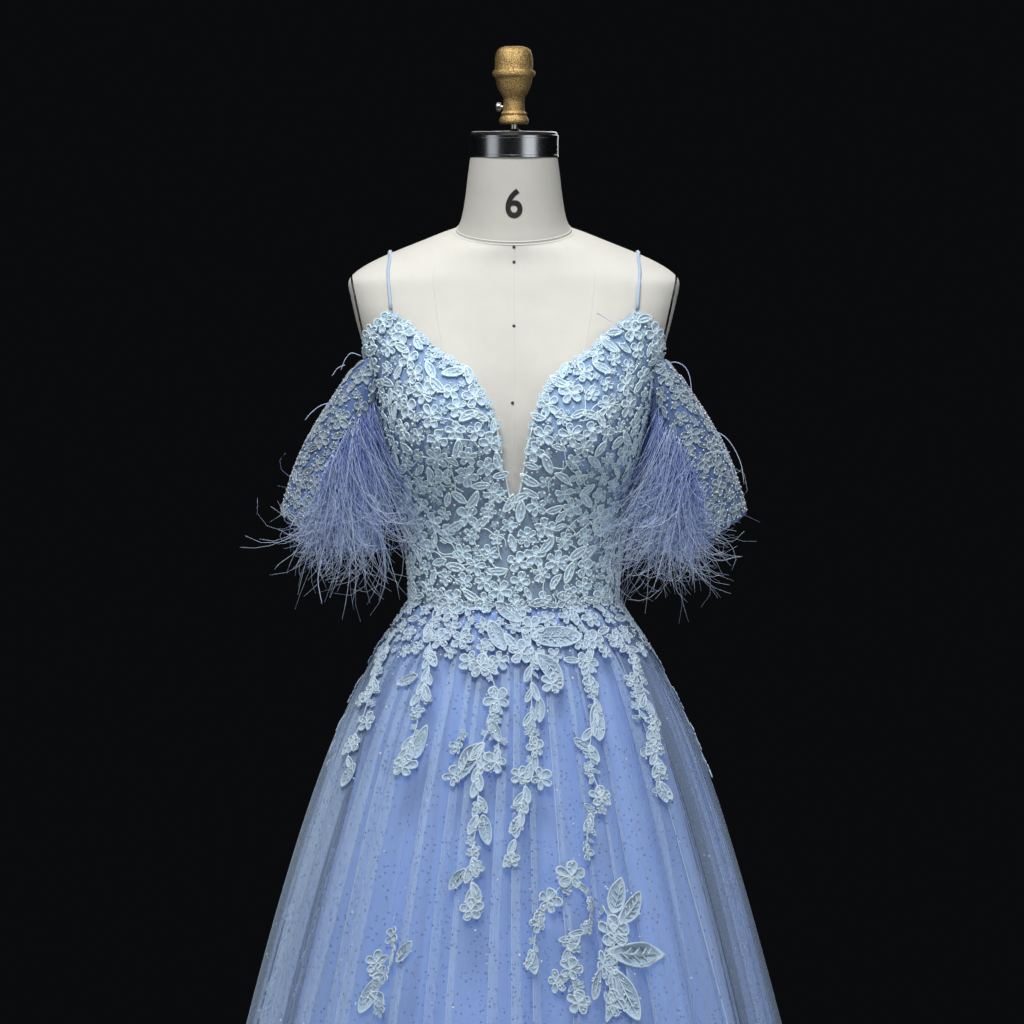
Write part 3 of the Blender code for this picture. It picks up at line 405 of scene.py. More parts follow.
def group_of(name, inputs, outputs):
    """An empty node group with named sockets, and its input and output nodes."""
    group = bpy.data.node_groups.new(name, "ShaderNodeTree")
    for label, value in inputs.items():
        kind = "NodeSocketVector" if label == "Vector" else "NodeSocketFloat"
        socket = group.interface.new_socket(label, in_out="INPUT", socket_type=kind)
        if value is not None:
            socket.default_value = value
    for label in outputs:
        group.interface.new_socket(label, in_out="OUTPUT", socket_type="NodeSocketFloat")
    return group, group.nodes.new("NodeGroupInput"), group.nodes.new("NodeGroupOutput")


def math_node(tree, operation, one, other=0.5, clamp=False):
    return add(tree, "ShaderNodeMath", {0: one, 1: other}, operation=operation, use_clamp=clamp).outputs[0]


# %% Shared patterns
# Threads that cross: two sets of fine waves, a little uneven
woven, enter, leave = group_of("woven_threads", {"Vector": None, "Scale": 900.0}, ["Height", "Tone"])
uneven = add(woven, "ShaderNodeTexNoise", {"Vector": enter.outputs["Vector"], "Scale": 40.0, "Detail": 3.0})
waves = []
for direction in ("X", "Z"):
    wave = add(
        woven, "ShaderNodeTexWave",
        {"Vector": enter.outputs["Vector"], "Scale": enter.outputs["Scale"], "Distortion": 0.6, "Detail": 1.0},
        bands_direction=direction,
    )
    waves.append(wave.outputs["Fac"])
crossed = math_node(woven, "MULTIPLY", waves[0], waves[1])
woven.links.new(crossed, leave.inputs["Height"])
woven.links.new(math_node(woven, "ADD", uneven.outputs["Fac"], crossed), leave.inputs["Tone"])

# Net: two sets of slanting threads that cross
net, enter, leave = group_of("net_cells", {"Vector": None, "Scale": 2600.0, "Thread": 0.12}, ["Cover", "Height"])
axes = add(net, "ShaderNodeSeparateXYZ", {"Vector": enter.outputs["Vector"]}).outputs
across = math_node(net, "ADD", axes["X"], axes["Y"])
strands = []
for operation in ("ADD", "SUBTRACT"):
    slant = math_node(net, "MULTIPLY", math_node(net, operation, across, axes["Z"]), enter.outputs["Scale"])
    strands.append(math_node(net, "ABSOLUTE", math_node(net, "SINE", slant)))
nearest = math_node(net, "MAXIMUM", *strands)
limit = math_node(net, "SUBTRACT", 1.0, enter.outputs["Thread"])
thread = math_node(net, "GREATER_THAN", nearest, limit)
net.links.new(thread, leave.inputs["Cover"])
net.links.new(nearest, leave.inputs["Height"])

# Glitter: one small spot in each cell, and a few of them painted pale as glints
glitter, enter, leave = group_of("glitter_spots", {"Vector": None, "Scale": 250.0, "Size": 0.17}, ["Spot", "Bright"])
spots = add(glitter, "ShaderNodeTexVoronoi", {"Vector": enter.outputs["Vector"], "Scale": enter.outputs["Scale"]})
spot = math_node(glitter, "LESS_THAN", spots.outputs["Distance"], enter.outputs["Size"])
split = add(glitter, "ShaderNodeSeparateColor", {"Color": spots.outputs["Color"]})
painted_glints = math_node(glitter, "GREATER_THAN", split.outputs["Red"], 0.975)
glitter.links.new(spot, leave.inputs["Spot"])
glitter.links.new(math_node(glitter, "MULTIPLY", spot, painted_glints), leave.inputs["Bright"])

# Wear: soft patches with a grainy edge
wear, enter, leave = group_of("worn_patches", {"Vector": None, "Scale": 60.0, "Detail": 5.0}, ["Patch", "Grain"])
patches = add(
    wear, "ShaderNodeTexNoise",
    {"Vector": enter.outputs["Vector"], "Scale": enter.outputs["Scale"], "Detail": enter.outputs["Detail"]},
)
grain = add(wear, "ShaderNodeTexNoise", {"Vector": enter.outputs["Vector"], "Scale": 900.0, "Detail": 2.0})
wear.links.new(patches.outputs["Fac"], leave.inputs["Patch"])
wear.links.new(grain.outputs["Fac"], leave.inputs["Grain"])


# %% Helpers for materials
def material_of(name, roughness=0.6, metallic=0.0, **constants):
    """A material, its node tree, its shader, and its object coordinates."""
    made = bpy.data.materials.new(name)
    made.use_nodes = True
    tree = made.node_tree
    shader = tree.nodes["Principled BSDF"]
    shader.inputs["Roughness"].default_value = roughness
    shader.inputs["Metallic"].default_value = metallic
    for key, value in constants.items():
        shader.inputs[key.replace("_", " ").title()].default_value = value
    place = add(tree, "ShaderNodeTexCoord").outputs["Object"]
    return made, tree, shader, place


def use(tree, group, **inputs):
    """A shared pattern, placed in a material with its own values."""
    return add(tree, "ShaderNodeGroup", inputs, node_tree=group).outputs


def mixed(tree, share, one, other):
    """A colour between two, by a value."""
    inputs = {"Factor": share, "A": one, "B": other}
    made = tree.nodes.new("ShaderNodeMix")
    made.data_type = "RGBA"
    for key, value in inputs.items():
        socket = next(s for s in made.inputs if s.name == key and s.enabled)
        if isinstance(value, bpy.types.NodeSocket):
            tree.links.new(value, socket)
        else:
            socket.default_value = value if key == "Factor" else (*value, 1)
    return next(s for s in made.outputs if s.enabled)


def spread(tree, value, low, high):
    """A value from 0 to 1, brought to between low and high."""
    return add(tree, "ShaderNodeMapRange", {"Value": value, "To Min": low, "To Max": high}).outputs["Result"]


def sharper(tree, value, low, high):
    """A value between low and high, brought to between 0 and 1."""
    return add(tree, "ShaderNodeMapRange", {"Value": value, "From Min": low, "From Max": high}).outputs["Result"]


def bump(tree, shader, height, strength, distance=0.0005):
    made = add(tree, "ShaderNodeBump", {"Height": height, "Strength": strength, "Distance": distance})
    tree.links.new(made.outputs["Normal"], shader.inputs["Normal"])


def feed(tree, shader, **inputs):
    for key, value in inputs.items():
        tree.links.new(value, shader.inputs[key.replace("_", " ").title()])


def worn(name, roughness, metallic, scale, dark, light, gloss=None, dents=None, **constants):
    """A finish in soft patches of two colours. Gloss and dents let its grain show in the shine and the relief."""
    made, tree, shader, place = material_of(name, roughness, metallic, **constants)
    patchy = use(tree, wear, Vector=place, Scale=scale)
    feed(tree, shader, Base_Color=mixed(tree, patchy["Patch"], dark, light))
    if gloss:
        feed(tree, shader, Roughness=spread(tree, patchy["Grain"], *gloss))
    if dents:
        bump(tree, shader, patchy["Grain"], *dents)
    return made


# %% Cloth materials
def toned(bright, *colour):
    """A colour made lighter or darker."""
    return tuple(min(bright * c, 1.0) for c in colour)


def linen_material(name, bright):
    """The form's ivory linen. The neck's copy is darker: painted shade on the neck."""
    made, tree, shader, place = material_of(name, 0.82, sheen_weight=0.15)
    threads = use(tree, woven, Vector=place, Scale=620.0)
    patchy = use(tree, wear, Vector=place, Scale=5.0)
    tone = mixed(tree, threads["Tone"], toned(bright, 0.70, 0.685, 0.63), toned(bright, 0.83, 0.82, 0.775))
    tone = mixed(tree, spread(tree, patchy["Patch"], 0.0, 0.25), tone, toned(bright, 0.62, 0.60, 0.54))
    feed(tree, shader, Base_Color=tone)
    bump(tree, shader, threads["Height"], 0.25)
    return made


linen = linen_material("ivory_linen", 0.87)
# The neck's copy is darker: painted shade on the neck
neck_linen = linen_material("neck_linen_painted_shade", 0.66)

# The cups and the skirt's lining: smooth satin with a slight uneven gleam
satin, tree, shader, place = material_of("blue_satin", 0.42, sheen_weight=0.25, anisotropic=0.3)
patchy = use(tree, wear, Vector=place, Scale=14.0)
feed(tree, shader, Base_Color=mixed(tree, patchy["Patch"], (0.225, 0.41, 0.93), (0.315, 0.505, 1.0)))
feed(tree, shader, Roughness=spread(tree, patchy["Patch"], 0.38, 0.56))
bump(tree, shader, patchy["Grain"], 0.08)

# The cups' satin is a paler copy of the blue satin: painted light on the bust
cup_satin_painted_light, tree, shader, place = material_of("cup_satin_painted_light", 0.45, sheen_weight=0.25)
patchy = use(tree, wear, Vector=place, Scale=26.0)
threads = use(tree, woven, Vector=place, Scale=1600.0)
feed(tree, shader, Base_Color=mixed(tree, patchy["Patch"], (0.48, 0.68, 1.0), (0.60, 0.79, 1.0)))
bump(tree, shader, threads["Height"], 0.1)

# The strap's satin, its tone varied by the weave
cord_satin, tree, shader, place = material_of("strap_satin", 0.45, sheen_weight=0.3)
threads = use(tree, woven, Vector=place, Scale=1400.0)
feed(tree, shader, Base_Color=mixed(tree, threads["Tone"], (0.30, 0.42, 0.62), (0.46, 0.58, 0.76)))
bump(tree, shader, threads["Height"], 0.2)

# The bodice's net
bodice_net, tree, shader, place = material_of("illusion_net", 0.7, sheen_weight=0.2)
holes = use(tree, net, Vector=place, Scale=2900.0, Thread=0.10)
feed(tree, shader, Alpha=spread(tree, holes["Cover"], 0.38, 0.62))
patchy = use(tree, wear, Vector=place, Scale=20.0, Detail=1.0)
feed(tree, shader, Base_Color=mixed(tree, patchy["Patch"], (0.24, 0.40, 0.66), (0.32, 0.50, 0.78)))
bump(tree, shader, holes["Height"], 0.15)

# The sleeves' net is doubled, so it's denser and bluer
sleeve_net, tree, shader, place = material_of("sleeve_net", 0.65, sheen_weight=0.3)
holes = use(tree, net, Vector=place, Scale=2300.0, Thread=0.12)
feed(tree, shader, Alpha=spread(tree, holes["Cover"], 0.46, 0.74))
patchy = use(tree, wear, Vector=place, Scale=30.0, Detail=1.0)
feed(tree, shader, Base_Color=mixed(tree, patchy["Patch"], (0.11, 0.20, 0.47), (0.18, 0.29, 0.60)))


def tulle_material(name, thin, thick, dark, light, spots):
    """Fine net that lets light through, denser at a crease. Glitter tulle also has dark spots, and a few shinier ones
    painted pale gold as glints.
    """
    made, tree, shader, place = material_of(name, 0.62, sheen_weight=0.3)
    holes = use(tree, net, Vector=place, Scale=2100.0, Thread=0.13)
    patchy = use(tree, wear, Vector=place, Scale=9.0, Detail=1.0)
    colour = mixed(tree, patchy["Patch"], dark, light)
    crease = add(tree, "ShaderNodeAttribute", attribute_name="crease").outputs["Fac"]
    folded = math_node(tree, "MULTIPLY", crease, 0.42)
    cover = math_node(tree, "ADD", spread(tree, holes["Cover"], thin, thick), folded)
    if spots:
        specks = use(tree, glitter, Vector=place, Scale=spots, Size=0.20)
        colour = mixed(tree, specks["Spot"], colour, (0.13, 0.19, 0.36))
        # A few spots painted pale gold: painted glints, which are also made shinier
        colour = mixed(tree, specks["Bright"], colour, (1.0, 0.93, 0.80))
        cover = math_node(tree, "MAXIMUM", cover, math_node(tree, "MULTIPLY", specks["Spot"], 0.75))
        feed(tree, shader, Roughness=spread(tree, specks["Bright"], 0.62, 0.12))
    feed(tree, shader, Base_Color=colour, Alpha=cover)
    return made


tulle = tulle_material("glitter_tulle", 0.13, 0.29, (0.47, 0.65, 0.95), (0.62, 0.80, 1.0), 165.0)
under_tulle = tulle_material("plain_tulle", 0.09, 0.21, (0.34, 0.47, 0.80), (0.44, 0.58, 0.90), None)


def lace_material(name, bright):
    """Corded lace: pale raised cord over a darker mesh ground."""
    made, tree, shader, place = material_of(name, 0.55, sheen_weight=0.35)
    cord_share = add(tree, "ShaderNodeAttribute", attribute_name="cord").outputs["Fac"]
    holes = use(tree, net, Vector=place, Scale=3400.0, Thread=0.2)
    patchy = use(tree, wear, Vector=place, Scale=45.0)
    stitches = use(tree, wear, Vector=place, Scale=520.0, Detail=1.0)
    ground = mixed(tree, holes["Cover"], toned(bright, 0.20, 0.32, 0.46), toned(bright, 0.36, 0.52, 0.68))
    ground = mixed(tree, sharper(tree, stitches["Patch"], 0.40, 0.62), ground, toned(bright, 0.50, 0.66, 0.84))
    ground = mixed(tree, spread(tree, patchy["Patch"], 0.0, 0.3), ground, toned(bright, 0.40, 0.56, 0.78))
    feed(tree, shader, Base_Color=mixed(tree, cord_share, ground, toned(bright, 0.64, 0.80, 0.94)))
    feed(tree, shader, Roughness=spread(tree, patchy["Grain"], 0.4, 0.7))
    bump(tree, shader, math_node(tree, "ADD", stitches["Patch"], patchy["Grain"]), 0.6)
    return made


lace = lace_material("corded_lace", 0.90)
# The bodice's copy of the lace is brighter: painted light on the bust
bodice_lace_painted_light = lace_material("bodice_lace_painted_light", 1.18)
# The sleeves' copy of the lace is darker: painted shade on the sleeves
sleeve_lace_painted_shade = lace_material("sleeve_lace_painted_shade", 0.52)

# Pearls, crystal beads and the feathers
pearl = worn("pearl", 0.16, 0.0, 300.0, (0.55, 0.66, 0.76), (0.80, 0.87, 0.92), coat_weight=0.6, coat_roughness=0.08)
feather, tree, shader, place = material_of("dyed_feather", 0.6, sheen_weight=0.1)
shade = add(tree, "ShaderNodeAttribute", attribute_name="shade").outputs["Fac"]
patchy = use(tree, wear, Vector=place, Scale=120.0, Detail=1.0)
colour = mixed(tree, shade, (0.070, 0.15, 0.52), (0.70, 0.82, 1.0))
feed(tree, shader, Base_Color=mixed(tree, spread(tree, patchy["Patch"], 0.0, 0.2), colour, (0.45, 0.58, 0.92)))

# %% Metal, enamel and other hard materials
chrome = worn("brushed_chrome", 0.22, 1.0, 8.0, (0.21, 0.22, 0.23), (0.33, 0.34, 0.35), gloss=(0.16, 0.34))
gold, tree, shader, place = material_of("antique_gold", 0.4, 1.0)
patchy = use(tree, wear, Vector=place, Scale=140.0)
grainy = sharper(tree, patchy["Grain"], 0.36, 0.64)
feed(tree, shader, Base_Color=mixed(tree, grainy, (0.15, 0.080, 0.022), (0.88, 0.64, 0.29)))
feed(tree, shader, Roughness=spread(tree, patchy["Patch"], 0.68, 0.38))
bump(tree, shader, patchy["Grain"], 0.9, 0.0012)
steel = worn("steel", 0.28, 1.0, 30.0, (0.42, 0.42, 0.44), (0.62, 0.62, 0.64), gloss=(0.2, 0.4))
black = worn(
    "black_enamel", 0.3, 0.0, 40.0, (0.010, 0.010, 0.011), (0.030, 0.030, 0.032), gloss=(0.22, 0.4), coat_weight=0.3,
)
iron = worn("cast_iron", 0.55, 0.5, 70.0, (0.025, 0.025, 0.028), (0.09, 0.09, 0.095), dents=(0.4, 0.0006))
coil = worn("zip_coil", 0.45, 0.0, 200.0, (0.24, 0.33, 0.62), (0.34, 0.44, 0.72))
print("materials", len(bpy.data.materials))

# %% [markdown]
# ## The dress form
# A tailor's form is a padded shape under tight linen, sewn from long panels. Its cover is a sheet laid on
# the sections in the table, capped at the hip, and sliced off square at each shoulder, where a plate
# closes the armhole. Slicing one smooth sheet gives the plate and the shoulder the same outline.

# %% Cover and arm plates
PLATE_X, PLATE_HEIGHT, PLATE_SLOPE, PLATE_FOOT = 0.1930, 0.378, 0.2146, 0.230
PLATE_THICK, PLATE_GAP = 0.0034, 0.0026
SIDES = ((1, "left"), (-1, "right"))


def form_sheet(heights, around=128):
    """A part of the form between two heights, closed at both ends."""
    turns = np.linspace(0, 360, around + 1)
    sheet = sheet_of(skin(turns[None, :], np.array(heights)[:, None]), closed=True)
    with edit_mode("DESELECT"):
        bpy.ops.mesh.select_non_manifold()
        bpy.ops.mesh.fill_holes(sides=0)
        face_outwards()
    return sheet


def pick_faces(piece, wanted):
    """Selects the faces that pass a test, and no others."""
    with edit_mode("DESELECT"):
        pass
    for face in piece.data.polygons:
        face.select = wanted(face)


def slice_shoulder(piece, side, depth, keep_body):
    """Cuts the piece along the arm plate's sloping face, a depth inside it, and closes the cut."""
    out = Vector((side, 0, -PLATE_SLOPE)).normalized()
    through = Vector((side * PLATE_X, 0, WAIST + PLATE_HEIGHT)) - out * depth

    def at_shoulder(face):
        return side * face.center.x > PLATE_X / 2 and face.center.z > WAIST + PLATE_FOOT

    choose(piece)
    pick_faces(piece, at_shoulder)
    with edit_mode(None):
        bpy.ops.mesh.bisect(
            plane_co=through, plane_no=out, use_fill=True, clear_outer=keep_body, clear_inner=False, threshold=1e-6,
        )
    if keep_body:
        return
    pick_faces(piece, lambda face: not (at_shoulder(face) and (face.center - through).dot(out) > -1e-5))
    with edit_mode(None):
        bpy.ops.mesh.delete(type="FACE")
        face_outwards()


trunk_heights = np.concatenate([np.linspace(FORM_END, 0.34, 72), np.linspace(0.344, NECK_SEAM, 44)])
cover = form_sheet(trunk_heights)
plates = {}
for side, word in SIDES:
    choose(cover)
    bpy.ops.object.duplicate()
    plates[word] = bpy.context.object
    slice_shoulder(plates[word], side, PLATE_THICK, False)
for side, word in SIDES:
    slice_shoulder(cover, side, PLATE_THICK + PLATE_GAP, True)
for piece in (cover, *plates.values()):
    choose(piece)
    bpy.ops.object.shade_smooth_by_angle(angle=math.radians(40))
piece_of("form_cover", linen, stands_for=["form_torso"], slot="linen", made=cover)
for word, plate in plates.items():
    piece_of(f"shoulder_plate_{word}", linen, stands_for=[f"arm_plate_{word}"], slot="linen", made=plate)
neck = form_sheet(np.linspace(NECK_SEAM + 0.0004, NECK_TOP, 26), 96)
bpy.ops.object.shade_smooth_by_angle(angle=math.radians(40))
piece_of("neck_cover", neck_linen, stands_for=["form_neck"], slot="linen", made=neck)

# %% [markdown]
# The linen panels meet in raised seams, and the size is printed on the neck. The seams are thin ribs
# laid on the cover, so they catch the light as real ones do. The numeral starts as a text object, becomes
# a mesh, and is then wrapped round the neck.

# %% Seams, numeral and pins
SEAM_WIDTH, SEAM_RISE = 0.0016, 0.0004
# Each seam as (turn, height) points on the wearer's left, and whether the right has it too
SEAMS = (
    (((58, 0.393), (50, 0.34), (43, 0.29), (40, 0.22), (38, 0.14), (34, 0.05), (33, -0.10), (33, -0.295)), True),
    (((90, 0.22), (90, 0.10), (90, 0.0), (90, -0.12), (90, -0.295)), True),
    (((122, 0.389), (134, 0.32), (142, 0.22), (146, 0.10), (147, 0.0), (146, -0.295)), True),
    (((180, 0.425), (180, 0.30), (180, 0.10), (180, -0.10), (180, -0.295)), False),
    (((0.2, 0.425), (0.2, 0.30), (0.2, 0.10), (0.2, -0.295)), False),
)


def rib_on_form(turns, heights, width, rise):
    """A narrow raised strip along a line on the form."""
    centre = off_body(turns, heights, 0.0)
    ahead = unit(np.gradient(centre, axis=0))
    out = unit(off_body(turns, heights, 0.01) - centre)
    across = np.cross(ahead, out)
    profile = ((-1.0, -0.3), (-0.5, 0.8), (0.0, 1.0), (0.5, 0.8), (1.0, -0.3))
    rows = [centre + across * width / 2 * share + out * rise * height for share, height in profile]
    return np.stack(rows, 1)


ribs = []
for points, mirrored in SEAMS:
    turns, heights = zip(*points)
    steps = np.linspace(0, 1, 120)
    knots = np.linspace(0, 1, len(points))
    line = curve(knots, turns)(steps), curve(knots, heights)(steps)
    for sign in (1, -1) if mirrored else (1,):
        ribs.append(rib_on_form(sign * line[0], line[1], SEAM_WIDTH, SEAM_RISE))
for base in (NECK_SEAM - 0.0012, NECK_SEAM + 0.0020):
    turns = np.linspace(0, 360, 181)
    ribs.append(rib_on_form(turns, np.full(181, base), 0.0020, 0.0006))
choose(*[sheet_of(rib) for rib in ribs])
bpy.ops.object.join()
piece_of("form_seams", linen, slot="linen")

NUMERAL_AT, NUMERAL_HIGH, NUMERAL_WIDE = (514, 203), 0.0285, 0.0192
fresh()
bpy.ops.object.text_add()
numeral = bpy.context.object
numeral.data.body = "6"
numeral.data.offset = 0.022
numeral.data.extrude = 0.002
bpy.ops.object.convert(target="MESH")
numeral = bpy.context.object
with edit_mode():
    bpy.ops.mesh.subdivide(number_cuts=2)
flat = np.array([v.co for v in numeral.data.vertices])
low, high = flat.min(0), flat.max(0)
flat = (flat - (low + high) / 2) / (high - low) * np.array([NUMERAL_WIDE, NUMERAL_HIGH, 0.0004])
neck_tree = BVHTree.FromObject(neck, bpy.context.evaluated_depsgraph_get())
spot = neck_tree.ray_cast(camera.location, sight(*NUMERAL_AT))[0]
level = solve(lambda h: spot.z - skin(0, h)[..., 2], 0.40, 0.52, ())
reach = np.hypot(spot.x, spot.y)
turns = np.degrees((spot.x + flat[:, 0]) / reach)
wrapped = off_body(turns, level + flat[:, 1], 0.0003 + flat[:, 2])
numeral.data.vertices.foreach_set("co", wrapped.ravel())
numeral.data.update()
piece_of("size_numeral", black, made=numeral)

PINS = ((514, 247), (514, 262), (514, 326), (512.5, 403))
cover_tree = BVHTree.FromObject(cover, bpy.context.evaluated_depsgraph_get())
heads = []
for at in PINS:
    spot, normal = cover_tree.ray_cast(camera.location, sight(*at))[:2]
    head = lathe([(0.0007, -0.0006), (0.0016, 0.0), (0.0018, 0.0006), (0.0013, 0.0013), (0.0004, 0.0016)], 16)
    head.data.transform(Matrix.Translation(spot) @ normal.to_track_quat("Z", "Y").to_matrix().to_4x4())
    heads.append(head)
choose(*heads)
bpy.ops.object.join()
piece_of("form_pins", iron)

# %% [markdown]
# ## The neck fittings and the stand
# The neck ends in a bright band with a black top, and a brass knob on a rod, with a small thumbscrew.
# All are turned on a lathe in the workshop, so each is a profile, extruded and scaled row by row. They
# lean with the top of the neck.

# %% Turned fittings
GAP = 0.0003
tilt = BODY[-1][5]
lean_y = (BODY[-1][3] - BODY[-1][2]) / 2
AXIS = Matrix.Translation((0, lean_y, WAIST + NECK_TOP + tilt * lean_y)) @ Matrix.Rotation(math.atan(tilt), 4, "X")
BAND_HEIGHT = 0.0262
CAP_LOW = BAND_HEIGHT + GAP
ROD_LOW = CAP_LOW + 0.0064 + GAP
KNOB_LOW = ROD_LOW + 0.0050 + GAP


def fitting(name, profile, low, finish, nodes, slot, around=64, axis=AXIS):
    """A turned piece that starts at a height on an axis."""
    made = lathe([(radius, low + height) for radius, height in profile], around)
    made.data.transform(axis)
    return piece_of(name, finish, stands_for=nodes, slot=slot)


fitting(
    "bright_band",
    [(0.0512, GAP), (0.0518, 0.0008), (0.0518, 0.0030), (0.0514, 0.0034), (0.0514, 0.0225), (0.0518, 0.0229),
     (0.0518, 0.0255), (0.0510, BAND_HEIGHT)],
    0, chrome, ["neck_band"], "chrome", 96,
)
fitting(
    "black_top",
    [(0.0500, 0), (0.0504, 0.0006), (0.0500, 0.0022), (0.0488, 0.0030), (0.0470, 0.0034), (0.0150, 0.0040),
     (0.0078, 0.0042), (0.0070, 0.0052), (0.0060, 0.0064)],
    CAP_LOW, black, ["neck_cap"], "black_enamel", 96,
)
fitting("rod", [(0.0035, 0), (0.0035, 0.0050)], ROD_LOW, steel, ["knob_rod"], "steel", 32)
fitting(
    "brass_knob",
    [(0.0152, 0), (0.0162, 0.0006), (0.0172, 0.0020), (0.0174, 0.0040), (0.0166, 0.0066), (0.0152, 0.0086),
     (0.0146, 0.0100), (0.0150, 0.0108), (0.0150, 0.0126), (0.0138, 0.0138), (0.0124, 0.0152),
     (0.0120, 0.0200), (0.0120, 0.0250), (0.0124, 0.0296), (0.0134, 0.0316), (0.0152, 0.0346),
     (0.0174, 0.0386), (0.0192, 0.0430), (0.0206, 0.0480), (0.0214, 0.0520), (0.0218, 0.0537),
     (0.0240, 0.0549), (0.0248, 0.0565), (0.0248, 0.0595), (0.0242, 0.0610), (0.0222, 0.0618),
     (0.0219, 0.0630), (0.0221, 0.0690), (0.0219, 0.0750), (0.0208, 0.0810), (0.0190, 0.0848),
     (0.0158, 0.0874), (0.0100, 0.0889), (0.0010, 0.0893)],
    KNOB_LOW, gold, ["knob"], "antique_gold",
)
SCREW_AT = (-0.0124 - GAP, 0, KNOB_LOW + 0.0195)
screw_axis = AXIS @ Matrix.Translation(SCREW_AT) @ Matrix.Rotation(math.radians(-90), 4, "Y")
fitting(
    "thumbscrew",
    [(0.0022, 0), (0.0022, 0.0026), (0.0044, 0.0029), (0.0052, 0.0036), (0.0054, 0.0050), (0.0053, 0.0066),
     (0.0048, 0.0078), (0.0030, 0.0083), (0.0006, 0.0084)],
    0, steel, ["knob_screw"], "steel", 32, screw_axis,
)
HUB_TOP = 0.060
COLLAR = WAIST + FORM_END - GAP - 0.012
flat_axis = Matrix.Identity(4)
fitting(
    "base_plate",
    [(0.2080, 0), (0.2096, 0.0006), (0.2100, 0.0020), (0.2100, 0.0058), (0.2092, 0.0070), (0.2060, 0.0080),
     (0.1500, 0.0101), (0.0900, 0.0127), (0.0600, 0.0140), (0.0440, 0.0168), (0.0340, 0.0220),
     (0.0306, 0.0270), (0.0300, 0.0320), (0.0300, 0.0560), (0.0286, 0.0590), (0.0260, HUB_TOP)],
    0, iron, ["stand_base"], "cast_iron", 96, flat_axis,
)
fitting(
    "pole",
    [(0.0160, HUB_TOP + GAP), (0.0160, COLLAR - 0.030), (0.0240, COLLAR - 0.028), (0.0240, COLLAR - 0.002),
     (0.0500, COLLAR), (0.0515, COLLAR + 0.0012), (0.0520, COLLAR + 0.004), (0.0520, COLLAR + 0.012)],
    0, steel, ["stand_pole"], "steel", 64, flat_axis,
)

# %% [markdown]
# ## The skirt
# Three layers make the skirt: a satin lining, a plain tulle and a glitter tulle. The big folds come from
# tables of the skirt's reach, and each layer adds its own small knife pleats. A knife pleat runs forward,
# turns back under its own edge and runs forward again, so three thicknesses of see-through tulle lie on
# each other. Modelling that return is what draws the pale lines down the real skirt.

# %% The skirt's big folds
HEM_CLEAR = 0.014
DROP = WAIST - HEM_CLEAR
# Drop, reach to the side, the front and the back, and the folds' depth
TULLE = (
    (0.000, 0.1217, 0.0952, 0.0962, 0.0000), (0.026, 0.1390, 0.1080, 0.1130, 0.0012),
    (0.070, 0.1685, 0.1290, 0.1400, 0.0050), (0.160, 0.2130, 0.1640, 0.1830, 0.0120),
    (0.320, 0.2680, 0.2150, 0.2390, 0.0200), (0.580, 0.3380, 0.2900, 0.3150, 0.0300),
    (DROP, 0.4510, 0.4180, 0.4400, 0.0420),
)
SATIN = (
    (0.000, 0.1201, 0.0936, 0.0946, 0.0000), (0.050, 0.1400, 0.1095, 0.1175, 0.0010),
    (0.120, 0.1640, 0.1270, 0.1440, 0.0040), (0.250, 0.1980, 0.1550, 0.1760, 0.0090),
    (0.480, 0.2560, 0.2070, 0.2280, 0.0160), (DROP, 0.3760, 0.3320, 0.3560, 0.0260),
)
TULLE_FOLDS, SATIN_FOLDS = 24, 12
TULLE_FOLD = ((0.0, 0.0), (0.30, 0.25), (0.60, 1.0), (0.82, 0.45), (1.0, 0.0))
SATIN_FOLD = ((0.0, 0.0), (0.33, 0.6), (0.66, 0.8), (1.0, 0.0))


def fold_turns(folds):
    """The turn of every fold's crest, a little uneven."""
    turn = 360 * np.arange(folds + 1) / folds
    return turn + 2.2 * np.sin(np.radians(4 * turn)) + 0.9 * np.sin(np.radians(10 * turn))


def fold_depth(turn, folds, profile):
    """How deep in a big fold each turn lies, from 0 on a crest."""
    crests = fold_turns(folds)
    turn = np.mod(turn, 360)
    at = np.clip(np.searchsorted(crests, turn, side="right") - 1, 0, folds - 1)
    share = (turn - crests[at]) / (crests[at + 1] - crests[at])
    lively = 0.72 + 0.28 * np.sin(at * 2.7)
    xs, ys = zip(*profile)
    return curve(xs, ys)(share) * lively


def skirt_point(table, turn, inward, drop):
    """A point of a skirt layer, some way in from its outline."""
    side, front, back = (column(drop) for column in table[:3])
    x, y = oval(turn, side, front, back, 2.0)
    reach = np.hypot(x, y)
    share = (reach - inward) / reach
    return np.stack([x * share, y * share, np.broadcast_to(WAIST - drop, x.shape)], -1)


TULLE_CURVES, SATIN_CURVES = table_curves(TULLE), table_curves(SATIN)

# %% Knife pleats
# A pleat's points: how far across its width, how far across its lap, how deep, and how creased
PLEAT = (
    (0.00, 0.00, 0.00, 0.0), (0.12, 0.00, -0.10, 0.0), (0.28, 0.00, -0.12, 0.0), (0.46, 0.00, 0.02, 0.0),
    (0.64, 0.00, 0.26, 0.0), (0.82, 0.00, 0.52, 0.0), (1.00, 0.00, 0.74, 0.0), (1.00, 0.50, 0.90, 0.0),
    (1.00, 0.96, 1.00, 0.2), (1.00, 1.04, 0.92, 0.6), (1.00, 0.94, 0.74, 0.2), (1.00, 0.55, 0.40, 0.0),
    (1.00, 0.16, 0.08, 0.1), (1.00, 0.06, -0.02, 1.0), (1.00, 0.02, 0.00, 1.0),
)
# How much the pleats differ: shares of the usual width, lap and depth, and the drop at which each one opens
WIDTHS, LAPS, DEPTHS, OPENS = (0.45, 1.7), (0.3, 1.6), (0.5, 1.4), (0.0, 0.09)


